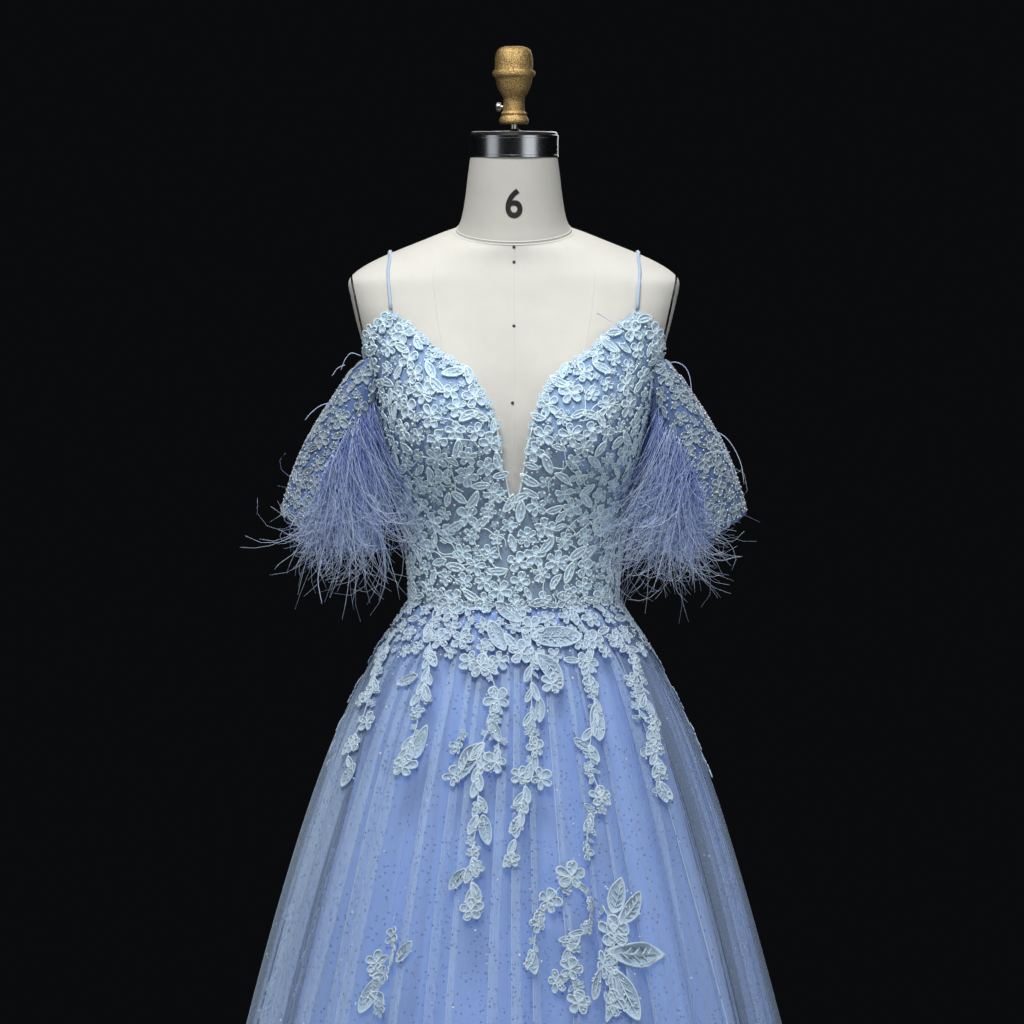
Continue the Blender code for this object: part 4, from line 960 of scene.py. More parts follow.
def pleated_layer(curves, folds, profile, pleats, drops, lap, depth, inset, seed):
    """Points of a layer of knife pleats that lie inside its big folds, and how creased each point is."""
    random = np.random.default_rng(seed)
    widths = random.uniform(*WIDTHS, pleats)
    starts = np.concatenate([[0], np.cumsum(widths)]) * 360 / widths.sum()
    laps = lap * random.uniform(*LAPS, pleats)
    depths = depth * random.uniform(*DEPTHS, pleats)
    begins = random.uniform(*OPENS, pleats)
    phases = random.uniform(0, 6.3, pleats + 1)
    phases[-1] = phases[0]
    drop = np.asarray(drops)[:, None]
    columns, creases = [], []
    for i in range(pleats):
        width = starts[i + 1] - starts[i]
        shown = np.clip((drop - begins[i]) / 0.16, 0.12, 1) * (1 - 0.35 * np.clip((drop - 0.6) / 0.5, 0, 1))
        side = curves[0](drop)
        for across, over, inward, creased in PLEAT:
            lap_turn = np.minimum(np.degrees(laps[i] * np.clip(drop / 0.09, 0.2, 1) / side), width * 0.45)
            one, next_one = np.sin(5.0 * drop + phases[i]), np.sin(5.0 * drop + phases[i + 1])
            sway = 0.9 * ((1 - across) * one + across * next_one)
            turn = starts[i] + width * across + lap_turn * over + sway * np.clip(drop / 0.3, 0, 1)
            big = fold_depth(turn, folds, profile) * curves[3](drop)
            fade = np.clip(drop / 0.04, 0.15, 1)
            columns.append(skirt_point(curves, turn, big + inset + depths[i] * inward * shown * fade, drop))
            creases.append(creased * np.clip((drop - begins[i]) / 0.1, 0, 1))
    points = np.concatenate([c.reshape(len(drops), -1, 3) for c in columns], axis=1)
    creases = np.concatenate(creases, axis=1)
    return np.concatenate([points, points[:, :1]], axis=1), np.concatenate([creases, creases[:, :1]], axis=1)


tulle_drops = np.concatenate([np.linspace(GAP / 2, 0.10, 12), np.linspace(0.12, DROP, 44)])
outer, creases = pleated_layer(
    TULLE_CURVES, TULLE_FOLDS, TULLE_FOLD, pleats=38, drops=tulle_drops, lap=0.021, depth=0.0085, inset=0.0020, seed=11,
)
skirt_outer = sheet_of(outer, closed=True, crease=creases)
piece_of(
    "tulle_glitter", tulle, slot="glitter_tulle", made=skirt_outer,
    stands_for=["skirt_tulle_front", "skirt_tulle_back_left", "skirt_tulle_back_right"],
)
under_drops = np.linspace(GAP / 2, DROP - 0.012, 40)[:, None]
under_turns = np.linspace(0, 360, 481)[None, :]
shrink = np.clip(under_drops / 0.05, 0, 1)
gather = 0.0035 * np.sin(np.radians(under_turns * 31))
gather = gather + 0.0025 * np.sin(np.radians(under_turns * 53) + 5 * under_drops)
inward = fold_depth(under_turns + 4, TULLE_FOLDS, TULLE_FOLD) * TULLE_CURVES[3](under_drops) + 0.010 + gather
under = skirt_point(TULLE_CURVES, under_turns, inward * shrink + 0.0012, under_drops)
skirt_under = sheet_of(under, closed=True, crease=np.zeros(under.shape[:2]))
piece_of("tulle_plain", under_tulle, slot="glitter_tulle", made=skirt_under)

# %% The satin lining
satin_turns = np.linspace(0, 360, 361)
satin_drops = np.concatenate([np.linspace(GAP / 2, 0.08, 8), np.linspace(0.10, DROP, 40)])[:, None]
depths = fold_depth(satin_turns, SATIN_FOLDS, SATIN_FOLD)[None, :] * SATIN_CURVES[3](satin_drops)
ripple = 0.0012 * np.sin(np.radians(satin_turns * 47))[None, :] * np.clip(satin_drops / 0.1, 0, 1)
points = skirt_point(SATIN_CURVES, satin_turns[None, :], depths + 0.0012 + ripple, satin_drops)
skirt_lining = sheet_of(points, closed=True)
piece_of("satin_lining", satin, stands_for=["skirt_satin"], slot="satin", made=skirt_lining)
for layer in (skirt_outer, skirt_under, skirt_lining):
    print(layer.name, "area", round(area_of(layer), 3))

# %% [markdown]
# ## The gown as one surface
# Lace crosses from the bodice to the skirt, so both are also kept as one grid of points and normals.
# A motif drawn flat is laid on that grid: its own x runs round the body and its y runs up.

# %% A surface to lay motifs on
Surface = namedtuple("Surface", "points normals u v stretch")
BODICE_OUT, BODICE_EASE = 0.0050, 0.0013


def surface_of(points, u, v):
    """A grid of points with its normals, and how many metres one step of u or v is."""
    round_it, up_it = np.gradient(points, u, v, axis=(0, 1))
    normals = unit(np.cross(round_it, up_it))
    stretch = np.stack([np.linalg.norm(round_it, axis=-1), np.linalg.norm(up_it, axis=-1)], -1)
    return Surface(points, normals, u, v, stretch)


def read(surface, u, v, what):
    """Values of a surface's grid, read between its points."""
    i = np.clip((u - surface.u[0]) / (surface.u[1] - surface.u[0]), 0, len(surface.u) - 1.001)
    j = np.clip((v - surface.v[0]) / (surface.v[1] - surface.v[0]), 0, len(surface.v) - 1.001)
    i0, j0 = i.astype(int), j.astype(int)
    s, t = (i - i0)[..., None], (j - j0)[..., None]
    grid = getattr(surface, what)
    low = grid[i0, j0] * (1 - s) + grid[i0 + 1, j0] * s
    high = grid[i0, j0 + 1] * (1 - s) + grid[i0 + 1, j0 + 1] * s
    return low * (1 - t) + high * t


gown_turns = np.arange(-190, 190.5, 0.5)
gown_heights = np.arange(-0.64, 0.356, 0.004)
T, H = np.meshgrid(gown_turns, gown_heights, indexing="ij")
upper = off_body(T, np.maximum(H, 0), BODICE_OUT, BODICE_EASE)
lower_drop = np.maximum(-H, 0)
lower_fold = fold_depth(T, TULLE_FOLDS, TULLE_FOLD) * TULLE_CURVES[3](lower_drop)
lower = skirt_point(TULLE_CURVES, T, lower_fold, lower_drop)
gown = surface_of(np.where(H[..., None] >= 0, upper, lower), gown_turns, gown_heights)
index = np.arange(T.size).reshape(T.shape)
quads = np.stack([index[:-1, :-1], index[1:, :-1], index[1:, 1:], index[:-1, 1:]], -1).reshape(-1, 4).tolist()
gown_tree = BVHTree.FromPolygons([tuple(p) for p in gown.points.reshape(-1, 3)], quads)


def on_gown(x, y):
    """The turn and height on the gown under a point of the picture."""
    spot = gown_tree.ray_cast(camera.location, sight(x, y))[0]
    if spot is None:
        return None
    return math.degrees(math.atan2(spot.x, -spot.y)), spot.z - WAIST


print("gown grid", gown.points.shape)

# %% [markdown]
# ## The bodice
# Fine net carries the lace, and moulded satin cups lie under it. Both follow the body at their own small
# distance. The net is one see-through sheet, open at the back for the zip, and the cups are single
# sheets, because only their outside shows.

# %% Net and cups
ZIP_TURN, V_TURN = 1.2, 26
net_turns = np.concatenate([
    np.linspace(-180 + ZIP_TURN, -V_TURN, 90)[:-1], np.linspace(-V_TURN, V_TURN, 121),
    np.linspace(V_TURN, 180 - ZIP_TURN, 90)[1:],
])
shares = np.linspace(0, 1, 64)[:, None]
heights = GAP / 2 + (top_edge(net_turns)[None, :] - GAP / 2) * shares
net_sheet = sheet_of(off_body(net_turns[None, :], heights, 0.0046, BODICE_EASE))
piece_of(
    "bodice_net", bodice_net, slot="lace_on_net", made=net_sheet,
    stands_for=["bodice_front_left", "bodice_front_right", "bodice_back_left", "bodice_back_right"],
)
CUP_EDGE = ((14.0, 0.212), (24.0, 0.180), (40.0, 0.158), (60.0, 0.156), (84.0, 0.176))
cup_low, = table_curves(CUP_EDGE)
for side, word in SIDES:
    turns = np.linspace(14, 82, 60)
    low, high = cup_low(turns), np.minimum(top_edge(turns) - 0.003, 0.318)
    heights = low[None, :] + (high - low)[None, :] * np.linspace(0, 1, 48)[:, None]
    cup = sheet_of(off_body(side * turns[None, :], heights, 0.0028, 0.0005))
    piece_of(f"cup_satin_painted_light_{word}", cup_satin_painted_light, stands_for=[f"cup_{word}"], slot="satin", made=cup)

# %% [markdown]
# ## The straps
# A spaghetti strap is a cord in a bias-cut satin tube. Its line goes up from the neckline, over the
# shoulder and down to the back's top edge, and a round tube follows it.

# %% Straps
STRAP_START, STRAP_RIDGE, STRAP_END = (0.1392, 0.3380), (0.1450, 0.3960), (0.0880, 0.1795)
STRAP_RADIUS, STRAP_LIFT = 0.0019, 0.0031


def strap_route():
    """The strap's line from the front point over the shoulder to the back's top edge."""
    ridge_height = solve(lambda h: skin(90, h)[..., 0] - STRAP_RIDGE[0], 0.38, 0.43, ())
    share = np.sin(np.pi / 2 * np.linspace(0, 1, 24))
    x = STRAP_START[0] + (STRAP_RIDGE[0] - STRAP_START[0]) * share
    height = STRAP_START[1] + (STRAP_RIDGE[1] - STRAP_START[1]) * share
    turn = solve(lambda t: x - skin(t, height)[..., 0], 0, 90, x.shape)
    route = [off_body(turn, height, STRAP_LIFT)]
    route.append(off_body(np.linspace(80, 100, 9), ridge_height, STRAP_LIFT))
    share = 1 - np.cos(np.pi / 2 * np.linspace(0, 1, 44))
    x = STRAP_RIDGE[0] + (STRAP_END[0] - STRAP_RIDGE[0]) * share
    height = STRAP_RIDGE[1] + (STRAP_END[1] - STRAP_RIDGE[1]) * share
    turn = 180 - solve(lambda t: x - skin(180 - t, height)[..., 0], 0, 90, x.shape)
    route.append(off_body(turn, height, STRAP_LIFT))
    line = np.concatenate(route)
    kept = [line[0]]
    for point in line[1:]:
        if np.linalg.norm(point - kept[-1]) > 0.004:
            kept.append(point)
    line = np.array(kept)
    for _ in range(9):
        line[1:-1] = (line[:-2] + 2 * line[1:-1] + line[2:]) / 4
    return line


right_route = strap_route()
for side, word in SIDES:
    route = right_route * np.array([side, 1, 1])
    points, triangles, _ = tubes(route[None], np.full((1, len(route)), STRAP_RADIUS), 12)
    strap = joined(points, triangles)
    piece_of(f"satin_strap_{word}", cord_satin, stands_for=[f"strap_{word}"], slot="satin", made=strap)

# %% [markdown]
# ## The sleeves
# Each sleeve is a loose tube of net that hangs from the armhole. It passes through three rings of four
# points, and a gentle wave runs round it, as in net that is gathered into a band.

# %% Sleeve surfaces
# The front, outer, back and inner point of the sleeve's top, middle and cuff
SLEEVE = (
    ((0.158, -0.056, 0.280), (0.198, 0.004, 0.252), (0.158, 0.066, 0.262), (0.160, 0.006, 0.200)),
    ((0.200, -0.066, 0.176), (0.243, 0.006, 0.182), (0.200, 0.078, 0.180), (0.160, 0.008, 0.140)),
    ((0.214, -0.056, 0.070), (0.270, 0.004, 0.104), (0.214, 0.068, 0.078), (0.154, 0.006, 0.058)),
)
LACE_RISE = 0.0016


def clear_of_gown(points, out):
    """Points moved straight out from the body's middle where they come too near to the gown."""
    turn = np.degrees(np.arctan2(points[..., 0], -points[..., 1]))
    height = points[..., 2] - WAIST
    body = skin(turn, np.clip(height, 0, 0.42))
    drop = np.maximum(-height, 0)
    skirt = skirt_point(TULLE_CURVES, turn, 0.0, drop)
    body_reach, skirt_reach = np.hypot(body[..., 0], body[..., 1]), np.hypot(skirt[..., 0], skirt[..., 1])
    least = np.where(height > 0, body_reach + BODICE_OUT + LACE_RISE, skirt_reach) + out
    reach = np.hypot(points[..., 0], points[..., 1])
    grow = np.maximum(least / reach, 1)
    return points * np.stack([grow, grow, np.ones_like(grow)], -1)


def sleeve_points(side, around, along, wave=0.0022, clear=0.0012):
    """Points of a sleeve: around is 0 at its outer side and 90 at its front, along is 1 at the cuff."""
    around, along = np.broadcast_arrays(np.asarray(around, float), np.asarray(along, float))
    angle = np.radians(around)[..., None]
    rings = []
    for ring in SLEEVE:
        front, outer, back, inner = (np.array(p) for p in ring)
        sides, ends = (outer + inner) / 2, (front + back) / 2
        centre, bend = (sides + ends) / 2, (sides - ends) / 2
        rings.append(
            centre + (outer - inner) / 2 * np.cos(angle) + (front - back) / 2 * np.sin(angle) + bend * np.cos(2 * angle)
        )
    top, middle, cuff = rings
    a = along[..., None]
    points = top * (1 - a) * (1 - 2 * a) + middle * 4 * a * (1 - a) + cuff * a * (2 * a - 1)
    away = points - (top + middle + cuff) / 3
    away[..., 2] = 0
    ripple = wave * (0.35 + 0.65 * a) * np.sin(5 * angle) + 0.0007 * np.sin(17 * angle + 3 * a)
    points = points + unit(away) * ripple
    points[..., 2] += WAIST
    points = clear_of_gown(points, clear)
    return points * np.array([side, 1, 1])


sleeves, sleeve_surfaces = {}, {}
for side, word in SIDES:
    around = np.linspace(0, 360, 145)
    along = np.linspace(1, 0, 44)
    points = sleeve_points(side, around[None, :], along[:, None])
    sleeve = sheet_of(points if side > 0 else points[:, ::-1], closed=True)
    sleeves[word] = piece_of(
        f"sleeve_net_{word}", sleeve_net, stands_for=[f"sleeve_{word}"], slot="lace_on_net", made=sleeve,
    )
    u, v = np.arange(-220, 221, 2.0), np.linspace(0, 1, 61)
    U, V = np.meshgrid(-side * u, 1 - v, indexing="ij")
    sleeve_surfaces[word] = surface_of(sleeve_points(side, U, V), u, v)
    print("area", round(area_of(sleeve), 4))

# %% [markdown]
# ## Lace motifs
# Corded lace is embroidered: a thick cord runs round each petal and leaf, over a fine mesh ground. Each
# motif is modelled once, as a disc whose edge is pulled to the outline of a petal or leaf and which is
# then extruded and scaled, so that the rim stands up as cord. Copies are laid on the gown in one mesh.

# %% Petal, leaf, stem and bead
Motif = namedtuple("Motif", "points triangles cord")
# The rows of a raised shape: the share of its outline, and its height
RAISED = ((1.0, 0.0), (1.03, 0.13), (0.85, 0.15), (0.74, 0.04))
RAISED_SMALL = ((1.0, 0.0), (1.02, 0.15), (0.66, 0.04))
RAISED_VEIN = ((1.0, 0.0), (0.55, 0.12))
RAISED_BIG = ((1.0, 0.0), (1.01, 0.12), (0.92, 0.13), (0.87, 0.03))


def petal_outline(angle):
    notch = 1 - 0.14 * math.exp(-((angle / 0.42) ** 2))
    return 0.52 * math.cos(angle) * notch, 0.33 * math.sin(angle) * (1 + 0.25 * math.cos(angle))


def leaf_outline(angle):
    return 0.5 * math.cos(angle), 0.21 * math.copysign(abs(math.sin(angle)) ** 1.35, math.sin(angle))


def motif_from(piece, open_below=True):
    """A piece's points, triangles and share of cord. The faces that would lie on the cloth are left out."""
    mesh = piece.data
    mesh.calc_loop_triangles()
    points = np.array([v.co for v in mesh.vertices])
    triangles = np.array([t.vertices for t in mesh.loop_triangles])
    bpy.data.objects.remove(piece)
    hidden = (points[triangles][..., 2].max(1) < 1e-6) & open_below
    return Motif(points, triangles[~hidden], np.clip((points[:, 2] - 0.06) / 0.05, 0, 1))


def moved(motif, turn=0.0, shift=(0, 0, 0), size=(1, 1, 1), cord=None):
    """The motif scaled, turned and then shifted, with its share of cord set where one is given."""
    c, s = math.cos(turn), math.sin(turn)
    points = motif.points * np.array(size)
    points = points @ np.array([[c, s, 0], [-s, c, 0], [0, 0, 1]]) + np.array(shift)
    return Motif(points, motif.triangles, motif.cord if cord is None else np.full(len(points), float(cord)))


def together(*motifs):
    """Several motifs as one."""
    starts = np.cumsum([0] + [len(m.points) for m in motifs])
    triangles = np.concatenate([m.triangles + s for m, s in zip(motifs, starts)])
    return Motif(np.concatenate([m.points for m in motifs]), triangles, np.concatenate([m.cord for m in motifs]))


petal = motif_from(lathe(RAISED, 10, petal_outline, 80))
small_petal = motif_from(lathe(RAISED_SMALL, 8, petal_outline, 80))
vein = motif_from(lathe(RAISED_VEIN, 6, leaf_outline, 80))
leaf_blade = motif_from(lathe(RAISED, 12, leaf_outline, 80))
big_blade = motif_from(lathe(RAISED_BIG, 22, leaf_outline, 80))
fresh()
bpy.ops.mesh.primitive_ico_sphere_add(subdivisions=1, radius=1.0)
ball = motif_from(bpy.context.object, open_below=False)
dome = Motif(ball.points, ball.triangles, np.ones(len(ball.points)))


def flower(petals, reach, wide, seed, petal=petal):
    """A flower of separate petals round a knot of beads, in units of one petal's length."""
    random = np.random.default_rng(seed)
    parts = []
    for i in range(petals):
        turn = 2 * math.pi * (i + random.uniform(-0.08, 0.08)) / petals
        grow = random.uniform(0.86, 1.12)
        shift = (reach * math.cos(turn), reach * math.sin(turn), 0.03 * (i % 2))
        parts.append(moved(petal, turn, shift, (grow, grow * wide, 1.0)))
    parts.append(moved(dome, 0, (0, 0, 0.10), (0.13, 0.13, 0.12), 1))
    return together(*parts)


leaf = together(leaf_blade, moved(vein, 0, (0, 0, 0.03), (0.86, 0.16, 0.8), 1))
ribs = [
    moved(vein, side * 0.75, (0.16 * i - 0.24, side * 0.055, 0.02), (0.22, 0.05, 0.7), 1)
    for i in range(4) for side in (1, -1)
]
big_leaf = together(big_blade, moved(vein, 0, (0, 0, 0.02), (0.92, 0.07, 0.9), 1), *ribs)


def bow(motif, depth):
    """The motif bent sideways along its length."""
    bent = motif.points.copy()
    bent[:, 1] += depth * (1 - (2 * bent[:, 0]) ** 2)
    return Motif(bent, motif.triangles, motif.cord)


big_bent = bow(big_leaf, 0.11)
leaf_bent = bow(leaf, 0.10)
FLOWERS = (flower(5, 0.58, 1.05, 1), flower(5, 0.56, 1.0, 2), flower(6, 0.60, 0.92, 3), flower(4, 0.54, 1.2, 4))
BLOSSOM = flower(5, 0.54, 1.0, 5, small_petal)
print("flower", len(FLOWERS[0].triangles), "leaf", len(leaf.triangles), "bead", len(ball.triangles))


# %% Laying copies on a surface
THICK_AT = 0.0105


def laid(surface, motif, spots, lift=0.0, rise=1.0):
    """Copies of a motif on a surface. A spot is its place u and v, its size and its turn in degrees.

    A motif's relief grows with its size only up to THICK_AT, because large motifs have the same cord.
    """
    spots = np.asarray(spots, float).reshape(-1, 4)
    u, v, size, angle = (spots[:, k:k + 1] for k in range(4))
    c, s = np.cos(np.radians(angle)), np.sin(np.radians(angle))
    x, y, z = (motif.points[None, :, k] for k in range(3))
    across, up = (x * c - y * s) * size, (x * s + y * c) * size
    stretch = read(surface, u[:, 0], v[:, 0], "stretch")
    at_u, at_v = u + across / stretch[:, :1], v + up / stretch[:, 1:]
    out = z * np.minimum(size, THICK_AT) * rise + lift
    points = read(surface, at_u, at_v, "points") + unit(read(surface, at_u, at_v, "normals")) * out[..., None]
    offsets = (np.arange(len(spots)) * len(motif.points))[:, None, None]
    triangles = (motif.triangles[None] + offsets).reshape(-1, 3)
    return Motif(points.reshape(-1, 3), triangles, np.tile(motif.cord, len(spots)))


def cord_on(surface, route, width, lift=0.0):
    """A round cord along a line of (u, v) points on a surface."""
    route = np.asarray(route, float)
    knots = np.linspace(0, 1, len(route))
    steps = np.linspace(0, 1, 5 * (len(route) - 1) + 1)
    u, v = curve(knots, route[:, 0])(steps), curve(knots, route[:, 1])(steps)
    line = read(surface, u, v, "points") + unit(read(surface, u, v, "normals")) * (width * 0.35 + lift)
    points, triangles, _ = tubes(line[None], np.full((1, len(line)), width / 2), 5)
    return Motif(points, triangles, np.ones(len(points)))


def lace_piece(name, parts, finish=None, **extra):
    whole = together(*parts)
    made = joined(whole.points, whole.triangles, cord=whole.cord)
    return piece_of(name, finish or lace, made=made, **extra)


Region = namedtuple("Region", "box test")


def strew(surface, random, count, spacing, inside, taken):
    """Random places in a region that keep half their spacings from each other and from those taken."""
    found = []
    low_u, high_u, low_v, high_v = inside.box
    u = random.uniform(low_u, high_u, count)
    v = random.uniform(low_v, high_v, count)
    spots = read(surface, u, v, "points")
    for k in np.nonzero(inside.test(u, v))[0]:
        if taken:
            others, spacings = (np.array(column) for column in zip(*taken))
            if np.min(np.linalg.norm(others - spots[k], axis=1) / (spacings + spacing)) < 0.5:
                continue
        taken.append((spots[k], spacing))
        found.append((u[k], v[k]))
    return np.array(found).reshape(-1, 2)


def sized(places, random, low, high, turns=(0, 360)):
    """Spots with a random size and turn at each place. Round beads need no turn."""
    sizes = random.uniform(low, high, len(places))
    angles = random.uniform(*turns, len(places)) if turns else np.zeros(len(places))
    return np.column_stack([places, sizes, angles])

# %% [markdown]
# ## Lace on the bodice
# The front is covered nearly all over: large flowers first, then leaves, small blossoms, winding cords and
# beads in what is left. A few windows of bare net stay open at the centre and under the bust.

# %% Bodice lace
# Windows of bare net on the front, as the picture's x, y and their half width and half height in pixels
WINDOWS = ((506, 572, 7, 32), (528, 520, 7, 8), (461, 487, 16, 9), (446, 552, 14, 12), (487, 535, 8, 14),
           (541, 590, 12, 9), (571, 462, 14, 12), (600, 545, 8, 16), (576, 545, 7, 9), (428, 378, 13, 6),
           (408, 405, 14, 9), (438, 402, 8, 6), (592, 362, 8, 7), (574, 396, 12, 12), (604, 405, 9, 10),
           (572, 425, 8, 9), (480, 395, 5, 9))
# The scale of the picture and of a turn on the bodice, and the last turn before the bare strip at the zip
METRES_A_PIXEL, DEGREES_A_METRE, ZIP_CLEAR = 0.00112, 560, 172
WINDOW_SPOTS = []
for x, y, half_x, half_y in WINDOWS:
    at = on_gown(x, y)
    edge = on_gown(x + half_x, y)
    if at and edge:
        WINDOW_SPOTS.append((at[0], at[1], max(abs(edge[0] - at[0]), 2.0), half_y * METRES_A_PIXEL))


def bodice_inside(margin, low=0.004):
    """The region a margin inside the top edge, off the windows and clear of the zip."""
    def test(u, v):
        beside = np.maximum(np.abs(u) - margin * DEGREES_A_METRE, 0)
        good = (v > low) & (v < top_edge(u) - margin) & (v < top_edge(beside)) & (np.abs(u) < ZIP_CLEAR)
        for turn, height, half_turn, half_height in WINDOW_SPOTS:
            good &= ((u - turn) / half_turn) ** 2 + ((v - height) / half_height) ** 2 > 1
        return good
    return Region((-176, 176, low, 0.335), test)


random = np.random.default_rng(5)
taken = []
bodice_spots = []
flower_spots = strew(gown, random, 5000, 0.0196, bodice_inside(0.009), taken)
for kind, motif in enumerate(FLOWERS):
    bodice_spots.append((motif, sized(flower_spots[kind::len(FLOWERS)], random, 0.0080, 0.0148), 0.0004, 1.0))
leaf_spots = strew(gown, random, 9000, 0.0128, bodice_inside(0.004), taken)
for kind, motif in enumerate((leaf, leaf_bent)):
    bodice_spots.append((motif, sized(leaf_spots[kind::2], random, 0.017, 0.028), 0.0010, 0.9))
blossom_spots = strew(gown, random, 14000, 0.0086, bodice_inside(0.003), taken)
bodice_spots.append((BLOSSOM, sized(blossom_spots, random, 0.0038, 0.0058), 0.0002, 1.3))
# Leaves and blossoms along the neckline, so that its edge is scalloped
edge = []
for side in (1, -1):
    for turn in np.concatenate([np.linspace(10, STRAP_TURN, 26), np.linspace(STRAP_TURN, 100, 12)[1:]]):
        edge.append((side * turn, top_edge(turn) - random.uniform(0.003, 0.006), random.uniform(0.0040, 0.0066),
                     random.uniform(0, 360)))
bodice_spots.append((BLOSSOM, np.array(edge), 0.0006, 1.2))
CORDS, CORD_STEPS, CORD_STEP, METRES_A_DEGREE = 58, 6, 0.0085, 0.0019
for side, word in SIDES:
    parts = []
    for motif, spots, lift, rise in bodice_spots:
        parts.append(laid(gown, motif, spots[spots[:, 0] * side >= 0], lift, rise))
    # Winding cords between the motifs
    for _ in range(CORDS):
        turn, height = random.uniform(8, 150), random.uniform(0.02, 0.24)
        way = random.uniform(0, 2 * np.pi) + np.cumsum(random.normal(0, 0.55, CORD_STEPS))
        u = turn + np.cumsum(np.cos(way)) * CORD_STEP / METRES_A_DEGREE
        v = np.minimum(np.maximum(height + np.cumsum(np.sin(way)) * CORD_STEP, 0.004), top_edge(u) - 0.004)
        parts.append(cord_on(gown, np.column_stack([side * u, v]), 0.0014, 0.0008))
    lace_piece(f"bodice_lace_painted_light_{word}", parts, bodice_lace_painted_light, slot="corded_lace")
print("flowers", len(flower_spots), "blossoms", len(blossom_spots), "leaves", len(leaf_spots))

# %% Bodice beads
bead_spots = strew(gown, random, 12000, 0.0060, bodice_inside(0.001), [])
spots = sized(bead_spots, random, 0.0009, 0.0019, None)
lace_piece("bodice_beads", [laid(gown, ball, spots, 0.0020)], pearl)

# %% [markdown]
# ## Lace on the skirt
# Below the waist the lace breaks into trails. Each trail is a stem with flowers, leaves and buds along
# it, and it is placed where the photograph shows it. The hidden sides and the back carry similar trails.

# %% Skirt trails
# The stems as points of the picture, and along them the motifs: kind, x, y, size and turn
STEMS = (
    ((434, 611), (431, 640), (428, 674), (420, 700), (417, 725), (408, 750), (404, 762)),
    ((481, 640), (488, 667), (497, 700), (488, 730), (483, 742), (478, 770), (478, 807), (473, 851), (471, 908)),
    ((495, 731), (499, 748), (495, 762)),
    ((530, 640), (531, 670), (531, 705), (529, 731), (535, 745), (528, 770), (521, 808), (516, 834), (512, 858)),
    ((566, 594), (587, 634), (587, 663), (594, 700), (590, 745), (592, 771), (601, 795), (592, 812), (586, 851)),
    ((615, 628), (634, 663), (645, 700), (653, 735), (658, 769), (662, 798)),
    ((632, 679), (637, 700), (640, 720)),
    ((391, 640), (381, 658), (372, 690), (362, 722), (351, 745), (349, 781)),
    ((571, 876), (589, 905), (586, 928), (570, 944), (571, 969), (575, 990), (579, 1003)),
    ((603, 905), (614, 932), (612, 965), (612, 1009)),
    ((571, 876), (548, 901), (537, 923), (532, 955)),
    ((396, 935), (394, 953), (380, 965), (372, 985), (382, 1009)),
)
